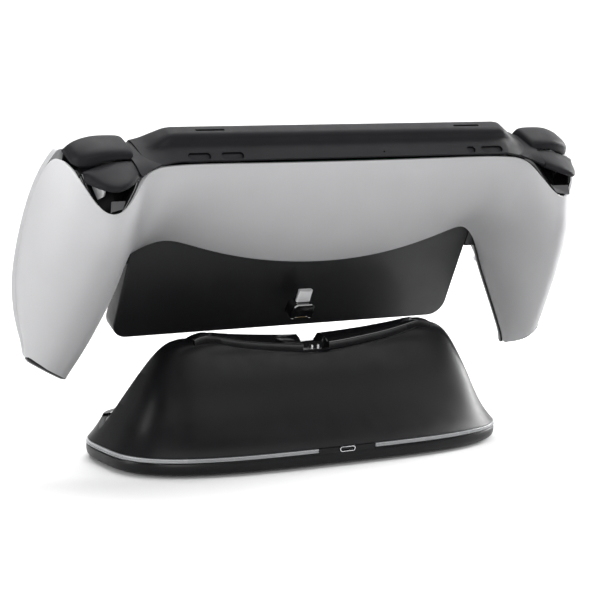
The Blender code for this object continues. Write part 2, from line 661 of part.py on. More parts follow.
def make_belly_parts(frame):
    """What fills the belly: circuit board, battery, sockets and the black underside plate."""
    box("main_board", (128.0, 1.4, 26.0), (0, -13.4, 30.0), BOARD, frame)
    box("battery", (92.0, 6.4, 30.0), (30.0, -18.6, 28.0), BATTERY, frame, bevel=0.8)
    stations = [(-x, *rest) for x, *rest in reversed(BELLY[1:7])] + list(BELLY[:7])
    rings = []
    for x, _, _, _, low_depth, low_height in stations:
        bottom = low_height + 2.6
        rings.append([(x, -10.5, bottom), (x, -low_depth + 3.0, bottom), (x, -low_depth + 3.0, bottom + 1.6),
                      (x, -10.5, bottom + 1.6)])
    plate = loft("belly_plate", rings, BLACK, frame)
    cut(plate, box("adapter_hole", (15.8, 10.0, 12.0), (0, -PORT_DEPTH - 0.9, -5.0), None, frame,
                   collection=CUTTERS))
    outer = rounded_rectangle(-4.8, 4.8, -1.9, 1.9, 1.5)
    port = prism("usb_c_port", outer, 0.35, 8.4, "Z", STEEL, frame, console_point(0, PORT_DEPTH, 0))
    inner = rounded_rectangle(-4.45, 4.45, -1.55, 1.55, 1.4)
    cut(port, prism("port_inside", inner, -2.0, 7.4, "Z", None, frame, console_point(0, PORT_DEPTH, 0), CUTTERS))
    jack = cylinder("headphone_jack", 2.9, 11.0, (-40.0, -18.0, 4.6), "Z", BLACK, frame, sides=20)
    cut(jack, cylinder("jack_bore", 1.75, 9.0, (-40.0, -18.0, 2.6), "Z", None, frame, sides=20,
                       collection=CUTTERS))
    cut(plate, cylinder("jack_hole", 3.3, 12.0, (-40.0, -18.0, -4.0), "Z", None, frame, sides=20,
                        collection=CUTTERS))
    for name, side in (("speaker_left", -1), ("speaker_right", 1)):
        box(name, (14.0, 6.0, 22.0), (side * 89.0, -16.0, 30.0), BLACK, frame, bevel=0.6)


# ---------------------------------------------------------------- shoulder controls
TRIGGER_AXIS = (8.0, 44.5)      # depth, height of the trigger's hinge
BUMPER_AXIS = (3.0, 46.0)


def make_well(name, side, frame):
    """Glossy liner round the trigger opening, a strip just inside the cover's edge."""
    rim = GRIP[0][:-1]
    rows = []
    for drop, pull in ((0.2, 3.7), (4.0, 4.6), (9.0, 5.6)):
        row = []
        for x, depth, height in rim:
            inward = Vector((131.0 - x, 14.0 - depth, 0)).normalized() * pull
            row.append((side * (x + inward.x), -(depth + inward.y), height + 0.4 - drop))
        rows.append(row)
    liner = add_object(name, mesh_from_bmesh(name, grid_mesh(name, rows), False), GLOSS, frame)
    solidify(liner, 1.0, offset=1.0 if side > 0 else -1.0)
    return liner


def make_bumper(name, side, frame):
    """A curved bar above the trigger, hinged near the front."""
    stations = ((113.2, 50.6, 15.0), (117.0, 54.0, 17.5), (123.0, 55.8, 19.0), (131.0, 55.6, 19.0),
                (139.0, 53.0, 17.5), (145.6, 48.6, 14.0))
    rings = []
    for x, top, reach in stations:
        section = [(0.6, top - 3.6), (1.8, top - 1.0), (5.0, top), (reach - 4.0, top + 0.2),
                   (reach - 0.8, top - 1.0), (reach, top - 2.4), (reach - 0.6, top - 3.4), (6.0, top - 3.6)]
        rings.append([(side * x, -(d - BUMPER_AXIS[0]), h - BUMPER_AXIS[1]) for d, h in section])
    return loft(name, rings, GLOSS, frame, console_point(0, *BUMPER_AXIS))


def make_trigger(name, side, frame):
    """A hooked lever on a pin: a hub round the hinge and a finger surface that curves back to a lip."""
    stations = ((118.8, 45.6, 23.0), (123.4, 47.6, 30.4), (129.6, 48.6, 35.4), (134.6, 47.4, 32.2),
                (138.2, 45.2, 23.0))
    rings = []
    for x, top, reach in stations:
        length = reach - 10.0
        section = [(10.0, top - 5.4), (11.0, top - 0.6), (10.0 + 0.34 * length, top + 1.2),
                   (10.0 + 0.60 * length, top + 0.3), (reach - 0.13 * length, top - 3.4), (reach, top - 7.6),
                   (reach - 0.02 * length, top - 9.2), (reach - 0.10 * length, top - 8.6),
                   (10.0 + 0.72 * length, top - 5.0), (10.0 + 0.34 * length, top - 4.0)]
        rings.append([(side * x, -(d - TRIGGER_AXIS[0]), h - TRIGGER_AXIS[1]) for d, h in section])
    trigger = loft(name, rings, GLOSS, frame, console_point(0, *TRIGGER_AXIS))
    cut(trigger, cylinder(name + "_hub", 2.6, 14.0, (side * 130.5, -TRIGGER_AXIS[0], TRIGGER_AXIS[1]), "X",
                          None, frame, sides=20, collection=CUTTERS), "UNION")
    cut(trigger, cylinder(name + "_bore", 1.5, 40.0, (side * 130.5, -TRIGGER_AXIS[0], TRIGGER_AXIS[1]), "X",
                          None, frame, sides=20, collection=CUTTERS))
    return trigger


def make_shoulder(frame):
    for word, side in (("left", -1), ("right", 1)):
        make_well(f"trigger_well_{word}", side, frame)
        make_bumper(f"bumper_{word}", side, frame)
        make_trigger(f"trigger_{word}", side, frame)
        cylinder(f"trigger_pin_{word}", 1.2, 24.0, (side * 130.5, -TRIGGER_AXIS[0], TRIGGER_AXIS[1]), "X",
                 STEEL, frame, sides=16)


# ---------------------------------------------------------------- front controls
STICK_X = 121.0
STICK_HEIGHT = -10.0
STICK_PIVOT_DEPTH = 7.0
PAD_X = 128.0                   # centre of the direction pad and of the round buttons
PAD_HEIGHT = 21.0
BUTTON_SPREAD = 9.6
FRONT_FACE = -3.8               # depth of the grips' front surface


def front_seat(name, x, depth, height, parent):
    """An empty whose Z points out of the front, towards the player."""
    seat = empty(name, parent, console_point(x, depth, height))
    seat.rotation_euler = (-math.pi / 2, 0, 0)
    return seat


def turned(name, profile, steps, material, parent):
    """A turned body: the profile runs down the outside at +X and is spun about Z."""
    mesh = bpy.data.meshes.new(name)
    mesh.from_pydata([Vector((r, 0, z)) * MM for r, z in profile],
                     [(k, k + 1) for k in range(len(profile) - 1)], [])
    item = add_object(name, mesh, material, parent)
    screw = item.modifiers.new("turn", "SCREW")
    screw.steps = steps
    screw.render_steps = steps
    screw.axis = "Z"
    screw.use_merge_vertices = True
    screw.merge_threshold = 0.00001
    screw.use_normal_calculate = False
    return item


STICK_PROFILE = ((0.0, 19.6), (6.0, 20.0), (8.4, 21.2), (9.5, 20.4), (9.3, 18.9), (7.0, 18.0), (3.4, 16.8),
                 (2.7, 14.0), (2.7, 10.4), (5.4, 9.3), (8.4, 6.4), (9.9, 3.0), (10.2, 0.4), (9.2, 0.4),
                 (8.6, 3.0), (7.0, 5.8), (4.8, 7.8), (1.8, 8.6), (1.8, 2.3), (0.0, 2.3))


def make_stick(word, side, frame, cover):
    """An analogue stick: cap and dome on a pivot block, inside a yoke, on a sensor base."""
    seat = front_seat(f"stick_seat_{word}", side * STICK_X, STICK_PIVOT_DEPTH, STICK_HEIGHT, frame)
    turned(f"stick_{word}", STICK_PROFILE, 18, RUBBER, seat)
    box(f"stick_pivot_{word}", (4.6, 4.6, 2.6), (0, 0, 0.2), STEEL, seat)
    yoke = box(f"stick_yoke_{word}", (12.0, 8.0, 2.6), (0, 0, -0.2), BLACK, seat)
    cut(yoke, box(f"yoke_window_{word}", (5.4, 5.4, 8.0), (0, 0, 0), None, seat, collection=CUTTERS))
    box(f"stick_base_{word}", (12.0, 12.0, 6.0), (0, 0, -7.9), STEEL, seat, bevel=0.5)
    cut(cover, cylinder(f"stick_hole_{word}", 11.6, 30.0, (0, 0, 12.0), "Z", None, seat, sides=28,
                        collection=CUTTERS))


def make_direction_pad(frame, cover):
    seat = front_seat("pad_seat", -PAD_X, FRONT_FACE, PAD_HEIGHT, frame)
    arm, half = 12.0, 4.0
    outline = [(half, -arm), (half, -half), (arm, -half), (arm, half), (half, half), (half, arm),
               (-half, arm), (-half, half), (-arm, half), (-arm, -half), (-half, -half), (-half, -arm)]
    prism("direction_pad", outline, -3.4, 1.6, "Z", WHITE, seat)
    cylinder("direction_pad_pivot", 2.4, 3.0, (0, 0, -6.0), "Z", BLACK, seat, sides=16)
    hole = [(x + math.copysign(0.6, x), y + math.copysign(0.6, y)) for x, y in outline]
    cut(cover, prism("pad_hole", hole, -12.0, 8.0, "Z", None, seat, (0, 0, 0), CUTTERS))


def make_round_button(name, x, height, radius, frame, cover, material):
    seat = front_seat(name + "_seat", x, FRONT_FACE, height, frame)
    cylinder(name, radius, 5.6, (0, 0, -1.4), "Z", material, seat, sides=20)
    cut(cover, cylinder(name + "_hole", radius + 0.35, 24.0, (0, 0, 0), "Z", None, seat, sides=20,
                        collection=CUTTERS))


def make_small_key(name, x, height, size, frame, cover):
    seat = front_seat(name + "_seat", x, FRONT_FACE, height, frame)
    wide, tall = size
    outline = rounded_rectangle(-wide / 2, wide / 2, -tall / 2, tall / 2, min(size) / 2 - 0.1, 3)
    prism(name, outline, -4.0, 1.4, "Z", WHITE, seat)
    hole = rounded_rectangle(-wide / 2 - GAP, wide / 2 + GAP, -tall / 2 - GAP, tall / 2 + GAP,
                             min(size) / 2 + GAP - 0.1, 3)
    cut(cover, prism(name + "_hole", hole, -12.0, 8.0, "Z", None, seat, (0, 0, 0), CUTTERS))


def make_front_controls(frame, left_cover, right_cover):
    make_stick("left", -1, frame, left_cover)
    make_stick("right", 1, frame, right_cover)
    make_direction_pad(frame, left_cover)
    places = (("north", 0, 1), ("east", 1, 0), ("south", 0, -1), ("west", -1, 0))
    for word, across, up in places:
        make_round_button(f"button_{word}", PAD_X + BUTTON_SPREAD * across, PAD_HEIGHT + BUTTON_SPREAD * up,
                          4.6, frame, right_cover, WHITE)
    make_small_key("create_button", -111.5, 36.0, (3.0, 7.0), frame, left_cover)
    make_small_key("options_button", 111.5, 36.0, (3.0, 7.0), frame, right_cover)
    make_round_button("home_button", -124.5, -33.0, 3.8, frame, left_cover, BLACK)
    make_small_key("mute_button", 124.5, -33.0, (8.0, 3.4), frame, right_cover)


# ---------------------------------------------------------------- assembly
def main():
    make_dock()
    console = empty("console_frame", None, Vector((0, CONSOLE_Y, CONSOLE_Z)) * MM, LEAN_RAD)
    adapter = empty("adapter_frame", console, console_point(0, PORT_DEPTH, -ADAPTER_TRAVEL))
    make_adapter(adapter)
    make_rear_cover(console)
    bar = make_top_frame(console)
    make_keys(console, bar)
    make_tablet(console)
    make_belly_parts(console)
    make_shoulder(console)
    left_cover = make_front_cover("front_cover_left", -1, console)
    right_cover = make_front_cover("front_cover_right", 1, console)
    make_grip_cap("grip_cap_left", -1, console)
    make_grip_cap("grip_cap_right", 1, console)
    make_front_controls(console, left_cover, right_cover)


main()
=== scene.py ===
"""Looks of the handheld console, its charging dock and the adapter between them.

Lengths are millimetres until a point goes into a mesh.  The console has its own frame:
x across the screen, depth from the glass to the back, height up along the screen.
"""
import math

import bmesh
import bpy
from mathutils import Matrix, Vector


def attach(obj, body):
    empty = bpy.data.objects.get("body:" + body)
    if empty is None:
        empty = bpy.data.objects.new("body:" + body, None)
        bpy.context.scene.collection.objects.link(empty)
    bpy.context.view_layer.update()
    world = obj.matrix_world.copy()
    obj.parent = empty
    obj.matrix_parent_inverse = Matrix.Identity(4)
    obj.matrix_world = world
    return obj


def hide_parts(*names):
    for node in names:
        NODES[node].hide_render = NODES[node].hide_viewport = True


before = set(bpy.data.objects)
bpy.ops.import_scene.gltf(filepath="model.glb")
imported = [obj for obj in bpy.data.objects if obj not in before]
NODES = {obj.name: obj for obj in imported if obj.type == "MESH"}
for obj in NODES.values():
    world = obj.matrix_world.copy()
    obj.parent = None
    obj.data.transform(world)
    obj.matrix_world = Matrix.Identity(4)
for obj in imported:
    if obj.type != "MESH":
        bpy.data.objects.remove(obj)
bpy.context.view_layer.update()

MM = 0.001
LEAN = math.radians(25.8)
CONSOLE = Matrix.Translation((0.0, 0.0071, 0.1194)) @ Matrix.Rotation(LEAN, 4, "X")
WORLD = Matrix.Identity(4)


# ---------------------------------------------------------------- materials
def node_of(tree, kind, **settings):
    node = tree.nodes.new(kind)
    for name, value in settings.items():
        setattr(node, name, value)
    return node


def noise(tree, scale, detail=2.0, roughness=0.5):
    """Noise fixed to the piece, scale in features per metre."""
    place = node_of(tree, "ShaderNodeTexCoord")
    texture = node_of(tree, "ShaderNodeTexNoise")
    texture.inputs["Scale"].default_value = scale
    texture.inputs["Detail"].default_value = detail
    texture.inputs["Roughness"].default_value = roughness
    tree.links.new(place.outputs["Object"], texture.inputs["Vector"])
    return texture.outputs["Fac"]


def remap(tree, value, low, high, start=0.3, end=0.7):
    node = node_of(tree, "ShaderNodeMapRange")
    node.inputs["From Min"].default_value = start
    node.inputs["From Max"].default_value = end
    node.inputs["To Min"].default_value = low
    node.inputs["To Max"].default_value = high
    tree.links.new(value, node.inputs["Value"])
    return node.outputs["Result"]


def blend_colours(tree, share, first, second):
    mix = node_of(tree, "ShaderNodeMix", data_type="RGBA")
    mix.inputs["A"].default_value = (*first, 1.0)
    mix.inputs["B"].default_value = (*second, 1.0)
    tree.links.new(share, mix.inputs["Factor"])
    return mix.outputs["Result"]


def moulded(name, colour, roughness, spread=0.05, mottle=0.04, grain=0.55, relief=0.02, metallic=0.0,
            coat=0.0, specular=0.5):
    """A surface with fine grain in relief, uneven gloss and slightly mottled colour; lengths in mm."""
    material = bpy.data.materials.new(name)
    material.use_nodes = True
    tree = material.node_tree
    shader = tree.nodes["Principled BSDF"]
    shader.inputs["Metallic"].default_value = metallic
    shader.inputs["Coat Weight"].default_value = coat
    shader.inputs["Coat Roughness"].default_value = 0.12
    shader.inputs["Specular IOR Level"].default_value = specular
    dark = [channel * (1.0 - mottle) for channel in colour]
    light = [min(1.0, channel * (1.0 + mottle)) for channel in colour]
    cloud = remap(tree, noise(tree, 42.0, 3.0), 0.0, 1.0)
    tree.links.new(blend_colours(tree, cloud, dark, light), shader.inputs["Base Color"])
    wear = noise(tree, 130.0, 4.0, 0.6)
    tree.links.new(remap(tree, wear, roughness - spread, roughness + spread), shader.inputs["Roughness"])
    if relief:
        bump = node_of(tree, "ShaderNodeBump")
        bump.inputs["Strength"].default_value = 1.0
        bump.inputs["Distance"].default_value = relief * MM
        tree.links.new(noise(tree, 1.0 / (grain * MM), 2.0), bump.inputs["Height"])
        tree.links.new(bump.outputs["Normal"], shader.inputs["Normal"])
    return material


WHITE = moulded("white_plastic", (0.74, 0.74, 0.755), 0.50, 0.06, 0.02, 0.8, 0.020)
CAP_WHITE = moulded("white_button_plastic", (0.78, 0.78, 0.80), 0.30, 0.05, 0.02, 0.9, 0.006)
SATIN = moulded("satin_black_plastic", (0.006, 0.006, 0.007), 0.40, 0.05, 0.12, 0.5, 0.012, specular=0.3)
BAND = moulded("band_black_plastic", (0.013, 0.013, 0.015), 0.52, 0.05, 0.10, 0.5, 0.014, specular=0.12)
GLOSS = moulded("gloss_black_plastic", (0.006, 0.006, 0.007), 0.10, 0.03, 0.15, 9.0, 0.012, coat=0.5)
DOCK = moulded("dock_plastic", (0.005, 0.005, 0.006), 0.38, 0.04, 0.12, 0.45, 0.010, specular=0.20)
STRIP = moulded("light_guide", (0.40, 0.41, 0.42), 0.25, 0.05, 0.10, 2.0, 0.01)
RUBBER = moulded("rubber", (0.022, 0.022, 0.023), 0.78, 0.08, 0.15, 0.35, 0.03)
PANE = moulded("cover_glass", (0.004, 0.004, 0.006), 0.06, 0.02, 0.2, 12.0, 0.004, coat=1.0)
# grey gloss for the patches in the trigger wells: a painted reflection, lighter than the black gloss round it
PAINTED_REFLECTION_GREY = moulded("painted_reflection_grey_plastic", (0.15, 0.15, 0.155), 0.14, 0.04, 0.10, 6.0, 0.010, coat=0.5)
PLATE = moulded("bright_plating", (0.86, 0.86, 0.87), 0.32, 0.05, 0.03, 0.3, 0.006, metallic=0.5)
STEEL = moulded("steel", (0.74, 0.74, 0.76), 0.26, 0.06, 0.03, 0.3, 0.006, metallic=1.0)
GOLD = moulded("gold_plating", (0.86, 0.64, 0.30), 0.24, 0.05, 0.05, 0.4, 0.006, metallic=1.0)
BOARD = moulded("circuit_board", (0.01, 0.09, 0.04), 0.45, 0.08, 0.25, 1.2, 0.05)
WRAP = moulded("battery_wrap", (0.10, 0.10, 0.11), 0.5, 0.08, 0.15, 1.5, 0.03)


# ---------------------------------------------------------------- mesh helpers
def spot(x, depth, height):
    """A point of the console, in mm, before its placement matrix."""
    return Vector((x, -depth, height))


def mesh_object(name, shape, placement=CONSOLE, tidy=True):
    if tidy:
        bmesh.ops.recalc_face_normals(shape, faces=shape.faces)
    mesh = bpy.data.meshes.new(name)
    shape.to_mesh(mesh)
    shape.free()
    mesh.transform(placement @ Matrix.Scale(MM, 4))
    item = bpy.data.objects.new(name, mesh)
    bpy.context.scene.collection.objects.link(item)
    return item


def settle(item, sharp=35.0):
    """Applies the modifiers, then shades smooth except at edges sharper than that angle."""
    bpy.context.view_layer.update()
    graph = bpy.context.evaluated_depsgraph_get()
    mesh = bpy.data.meshes.new_from_object(item.evaluated_get(graph))
    item.modifiers.clear()
    item.data = mesh
    mesh.polygons.foreach_set("use_smooth", [True] * len(mesh.polygons))
    mesh.set_sharp_from_angle(angle=math.radians(sharp))
    return item


def finish_piece(item, material, body, replaced=(), sharp=35.0):
    settle(item, sharp)
    item.data.materials.clear()
    item.data.materials.append(material)
    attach(item, body)
    if replaced:
        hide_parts(*replaced)
    return item


def cut(item, cutter, operation="DIFFERENCE"):
    """Cuts item with a cutter at once and removes the cutter."""
    change = item.modifiers.new("cut", "BOOLEAN")
    change.operation = operation
    change.solver = "EXACT"
    change.object = cutter
    settle(item)
    bpy.data.objects.remove(cutter, do_unlink=True)


def bevel(item, width, segments=3, angle=35.0):
    change = item.modifiers.new("bevel", "BEVEL")
    change.width = width * MM
    change.segments = segments
    change.limit_method = "ANGLE"
    change.angle_limit = math.radians(angle)


def subdivide(item, levels):
    change = item.modifiers.new("smooth", "SUBSURF")
    change.levels = levels
    change.render_levels = levels


def thicken(item, thickness, offset=-1.0):
    change = item.modifiers.new("thickness", "SOLIDIFY")
    change.thickness = thickness * MM
    change.offset = offset
    change.use_even_offset = True


def mirror(item):
    """Mirrors across the console's centre plane, which is also the world's X = 0."""
    change = item.modifiers.new("mirror", "MIRROR")
    change.use_clip = True
    change.merge_threshold = 0.00002


def grid(rows):
    shape = bmesh.new()
    lattice = [[shape.verts.new(point) for point in row] for row in rows]
    for first, second in zip(lattice, lattice[1:]):
        for k in range(len(first) - 1):
            shape.faces.new((first[k], first[k + 1], second[k + 1], second[k]))
    return shape


def loft(name, rings, placement=CONSOLE):
    """A closed body through rings of equal length."""
    shape = bmesh.new()
    rows = [[shape.verts.new(point) for point in ring] for ring in rings]
    count = len(rows[0])
    for lower, upper in zip(rows, rows[1:]):
        for k in range(count):
            shape.faces.new((lower[k], lower[(k + 1) % count], upper[(k + 1) % count], upper[k]))
    shape.faces.new(rows[0][::-1])
    shape.faces.new(rows[-1])
    return mesh_object(name, shape, placement)


def prism(name, outline, start, end, axis, placement=CONSOLE):
    """A flat outline extruded along axis; its pairs are the other two axes in order."""
    place = "XYZ".index(axis)
    rings = [[(*point[:place], along, *point[place:]) for point in outline] for along in (start, end)]
    return loft(name, rings, placement)


def block(name, size, centre, placement=CONSOLE):
    half = [length / 2 for length in size]
    outline = [(-half[0], -half[1]), (half[0], -half[1]), (half[0], half[1]), (-half[0], half[1])]
    return prism(name, [(a + centre[0], b + centre[1]) for a, b in outline], centre[2] - half[2],
                 centre[2] + half[2], "Z", placement)


def arc(centre, radius, start, end, steps):
    angles = [math.radians(start + (end - start) * k / steps) for k in range(steps + 1)]
    return [(centre[0] + radius * math.cos(a), centre[1] + radius * math.sin(a)) for a in angles]


def rounded_rectangle(x0, x1, y0, y1, radius, steps=8):
    corners = (((x1 - radius, y0 + radius), -90), ((x1 - radius, y1 - radius), 0),
               ((x0 + radius, y1 - radius), 90), ((x0 + radius, y0 + radius), 180))
    return [point for centre, start in corners for point in arc(centre, radius, start, start + 90, steps)]


def circle(radius, steps=32):
    return [(radius * math.cos(2 * math.pi * k / steps), radius * math.sin(2 * math.pi * k / steps))
            for k in range(steps)]


def smooth_rows(table, steps):
    """Rows of numbers read along a Catmull-Rom curve, steps new rows per gap."""
    rows = []
    for k in range(len(table) - 1):
        before, a, b, after = table[max(k - 1, 0)], table[k], table[k + 1], table[min(k + 2, len(table) - 1)]
        for j in range(steps):
            t = j / steps
            rows.append([0.5 * (2 * p1 + (p2 - p0) * t + (2 * p0 - 5 * p1 + 4 * p2 - p3) * t * t
                                + (3 * p1 - p0 - 3 * p2 + p3) * t ** 3)
                         for p0, p1, p2, p3 in zip(before, a, b, after)])
    rows.append(list(table[-1]))
    return rows


def turned(name, profile, steps, placement):
    """A turned body; the profile of (radius, z) runs from the axis at the top to the axis below."""
    shape = bmesh.new()
    rings = []
    for radius, z in profile:
        if radius == 0.0:
            rings.append([shape.verts.new((0.0, 0.0, z))])
        else:
            rings.append([shape.verts.new((x, y, z)) for x, y in circle(radius, steps)])
    for upper, lower in zip(rings, rings[1:]):
        for k in range(steps):
            n = (k + 1) % steps
            if len(upper) == 1:
                shape.faces.new((upper[0], lower[k], lower[n]))
            elif len(lower) == 1:
                shape.faces.new((upper[k], lower[0], upper[n]))
            else:
                shape.faces.new((upper[k], lower[k], lower[n], upper[n]))
    return mesh_object(name, shape, placement)


# ---------------------------------------------------------------- dock
DOCK_LEVELS = (
    (10.3, 111.8, -41.6, 58.6, 3.3), (14.5, 108.4, -37.8, 55.4, 3.4), (20.5, 104.2, -33.6, 52.4, 3.6),
    (28.0, 100.2, -28.8, 49.0, 4.0), (37.0, 96.0, -23.6, 46.0, 4.6), (46.0, 91.6, -18.6, 44.0, 5.2),
    (54.0, 87.2, -14.9, 42.0, 5.6), (59.0, 83.2, -13.3, 41.0, 5.6), (61.8, 79.2, -12.2, 40.0, 5.2),
    (63.2, 74.0, -9.8, 38.0, 4.6),
)
TRAY_LEVELS = ((1.2, 109.6, -38.6, 56.0, 3.2), (1.7, 111.0, -40.1, 57.4, 3.2), (2.6, 112.1, -41.2, 58.4, 3.2),
               (4.6, 112.8, -42.0, 59.2, 3.2), (7.3, 112.8, -42.0, 59.2, 3.2), (7.6, 112.5, -41.7, 58.9, 3.2))
DOCK_CENTRE = 9.0
SADDLE = (
    (0.0, 53.4, 57.4, -1.6, 61.6), (14.0, 54.4, 58.2, -1.6, 62.0), (30.0, 56.2, 59.9, -2.0, 63.1),
    (44.0, 58.2, 61.8, -3.0, 64.4), (54.0, 60.2, 63.8, -4.4, 65.7), (62.0, 62.2, 65.4, -6.6, 66.9),
    (67.0, 63.2, 65.2, -7.4, 66.0), (71.0, 63.7, 63.9, -7.6, 64.1),
)
RIDGE = -9.7
LIP = 21.5
OUTLINE = 192


def plan(level, inset=0.0, steps=OUTLINE):
    """The dock's plan at one level: height, half width, back, front, squareness."""
    height, half, back, front, squareness = level
    points = []
    for k in range(steps):
        c, s = math.cos(2 * math.pi * k / steps), math.sin(2 * math.pi * k / steps)
        reach = (front - DOCK_CENTRE if s > 0 else DOCK_CENTRE - back) - inset
        points.append(((half - inset) * math.copysign(abs(c) ** (2 / squareness), c),
                       DOCK_CENTRE + reach * math.copysign(abs(s) ** (2 / squareness), s), height))
    return points


def dock_body(name, levels, inset=0.0):
    return loft(name, [plan(level, inset) for level in levels], WORLD)


DOCKED_DROP = 45.0


def docked(depth, height):
    """World (y, z) of a console point with the console down in the dock."""
    return (7.1 - depth * math.cos(LEAN) - height * math.sin(LEAN),
            119.4 - DOCKED_DROP + height * math.cos(LEAN) - depth * math.sin(LEAN))


def tablet_room():
    behind, floor = 10.5, -60.1
    slot_y, slot_z = docked(-0.5, floor)
    outline = [docked(behind, 30.0), docked(behind, floor), (slot_y, slot_z),
               (slot_y - (LIP - slot_z) * math.tan(LEAN), LIP), (90.0, LIP), (90.0, docked(behind, 30.0)[1])]
    return prism("tablet_room", outline, -140.0, 140.0, "X", WORLD)


def rim_room(drop=0.0):
    right = [(row[0], row[1] - drop) for row in smooth_rows(SADDLE, 6)]
    outline = [(-x, z) for x, z in reversed(right[1:])] + right
    outline += [(SADDLE[-1][0], 90.0), (-SADDLE[-1][0], 90.0)]
    return prism("rim_room", outline, -70.0, 30.0, "Y", WORLD)


def build_dock():
    levels = smooth_rows(DOCK_LEVELS, 5)
    shell = dock_body("dock_outer_shell", levels)
    lowest = (9.0, *DOCK_LEVELS[0][1:])
    inside = [lowest] + [level for level in levels if level[0] < 61.0]
    cut(shell, dock_body("inside", inside, 2.4))
    cut(shell, rim_room())
    cut(shell, block("saddle_room", (142.0, 60.0, 50.0), (0, RIDGE - 0.3 + 30.0, 60.0), WORLD))
    cut(shell, tablet_room())
    bevel(shell, 0.45, 3, 40.0)
    finish_piece(shell, DOCK, "dock", ("dock_shell",), 40.0)

    cradle = dock_body("dock_cradle_insert", [level for level in levels if level[0] < 60.4], 2.7)
    cut(cradle, rim_room(0.6))
    cut(cradle, saddle_body(), "UNION")
    cut(cradle, tablet_room())
    notch = [(-6.0, 57.2), (6.0, 57.2), (9.6, 66.0), (-9.6, 66.0)]
    cut(cradle, prism("notch", notch, -30.0, 30.0, "Y", WORLD))
    cut(cradle, block("pocket", (15.6, 7.0, 14.0), (0, -7.9, 61.4), WORLD))
    for side in (-1, 1):
        hole = [(x + side * 1.8, y - 8.2) for x, y in circle(0.95, 24)]
        cut(cradle, prism("pin_hole", hole, 40.0, 60.0, "Z", WORLD))
    bevel(cradle, 0.5, 3, 30.0)
    finish_piece(cradle, GLOSS, "dock", ("dock_cradle",), 40.0)

    tray = dock_body("dock_base", smooth_rows(TRAY_LEVELS, 2))
    cut(tray, block("tongue", (33.2, 2.4, 5.2), (0, -40.6, 7.4), WORLD), "UNION")
    cut(tray, prism("socket_slot", rounded_rectangle(-4.9, 4.9, 7.05, 10.6, 1.6), -60.0, -36.0, "Y", WORLD))
    finish_piece(tray, DOCK, "dock", ("dock_base_tray",), 40.0)
    for word, side in (("left", -1), ("right", 1)):
        build_light_strip(word, side)
    build_socket()


def saddle_body():
    """The glossy saddle: one ring per station across the dock, with a ridge, a hollow and a crest."""
    right = smooth_rows(SADDLE, 8)
    stations = [[-row[0], *row[1:]] for row in reversed(right[1:])] + right
    rings = []
    for x, _, ridge, crest_y, crest in stations:
        x = math.copysign(min(abs(x), 70.7), x)
        hollow = [(RIDGE + 0.5 + (crest_y - 0.8 - RIDGE - 0.5) * t, ridge + (crest - 0.1 - ridge) * t
                   - 0.7 * math.sin(math.pi * t)) for t in (0.0, 0.25, 0.5, 0.75, 1.0)]
        rings.append([(x, RIDGE, 40.0), (x, RIDGE, ridge - 0.6)] + [(x, y, z) for y, z in hollow]
                     + [(x, crest_y + 0.6, crest - 0.6), (x, 6.0, crest - 1.6),
                        (x, crest_y + 30.0, crest - 60.0),
                        (x, 0.0, 10.0)])
    return loft("saddle", rings, WORLD)


def build_light_strip(word, side):
    """A clear bar round the base with a groove along its middle."""
    level = (0.0, 112.7, -41.9, 59.1, 3.25)
    outline = plan(level, 0.0, 3 * OUTLINE)
    run = [point for point in outline if point[0] * side > 17.6
           and not (point[1] > DOCK_CENTRE and abs(point[0]) < 88.0)]
    run.sort(key=lambda point: math.atan2(point[1] - DOCK_CENTRE, point[0] * side))
    run.insert(0, (side * 17.0, run[0][1] - 0.02, 0.0))
    rings = []
    section = ((-2.0, 8.0), (-0.1, 8.0), (0.1, 8.2), (0.1, 8.5), (-0.5, 8.7), (-0.5, 9.2), (0.0, 9.4),
               (0.0, 9.65), (-0.2, 9.85), (-2.0, 9.85))
    for x, y, _ in run:
        outward = Vector((x / 112.7 ** 2 * 50.0, (y - DOCK_CENTRE) / 50.0 ** 2 * 50.0)).normalized()
        rings.append([(x + outward.x * out, y + outward.y * out, z) for out, z in section])
    strip = loft(f"dock_light_strip_{word}", rings, WORLD)
    finish_piece(strip, STRIP, "dock", (f"dock_light_guide_{word}",), 50.0)


def build_socket():
    """The socket: a steel oval tube in a shallow recess, with its tongue."""
    tube = prism("dock_socket_tube", rounded_rectangle(-4.55, 4.55, 7.4, 10.1, 1.3), -42.1, -34.6, "Y", WORLD)
    cut(tube, prism("mouth", rounded_rectangle(-4.1, 4.1, 7.85, 9.65, 0.88), -50.0, -35.4, "Y", WORLD))
    bevel(tube, 0.12, 2)
    finish_piece(tube, STEEL, "dock", ("dock_usb_c_socket",))
    tongue = block("dock_socket_tongue", (6.4, 5.6, 0.7), (0.0, -38.3, 8.75), WORLD)
    finish_piece(tongue, SATIN, "dock")


# ---------------------------------------------------------------- console shells
# belly columns: x, top edge (depth, height), crest depth, lower edge (depth, height)
BELLY = (
    (0.0, 25.6, 49.6, 31.0, 26.0, -8.8), (16.0, 25.6, 49.6, 31.0, 25.9, -8.3),
    (32.0, 25.5, 49.6, 30.6, 24.9, -7.2), (48.0, 25.2, 49.6, 29.8, 23.2, -5.3),
    (64.0, 25.0, 49.6, 28.8, 21.3, -2.1), (78.0, 24.8, 49.6, 28.0, 19.6, 1.8),
    (89.0, 24.7, 49.5, 27.6, 17.2, 3.8), (99.0, 24.6, 49.0, 27.4, 12.8, -4.0),
)
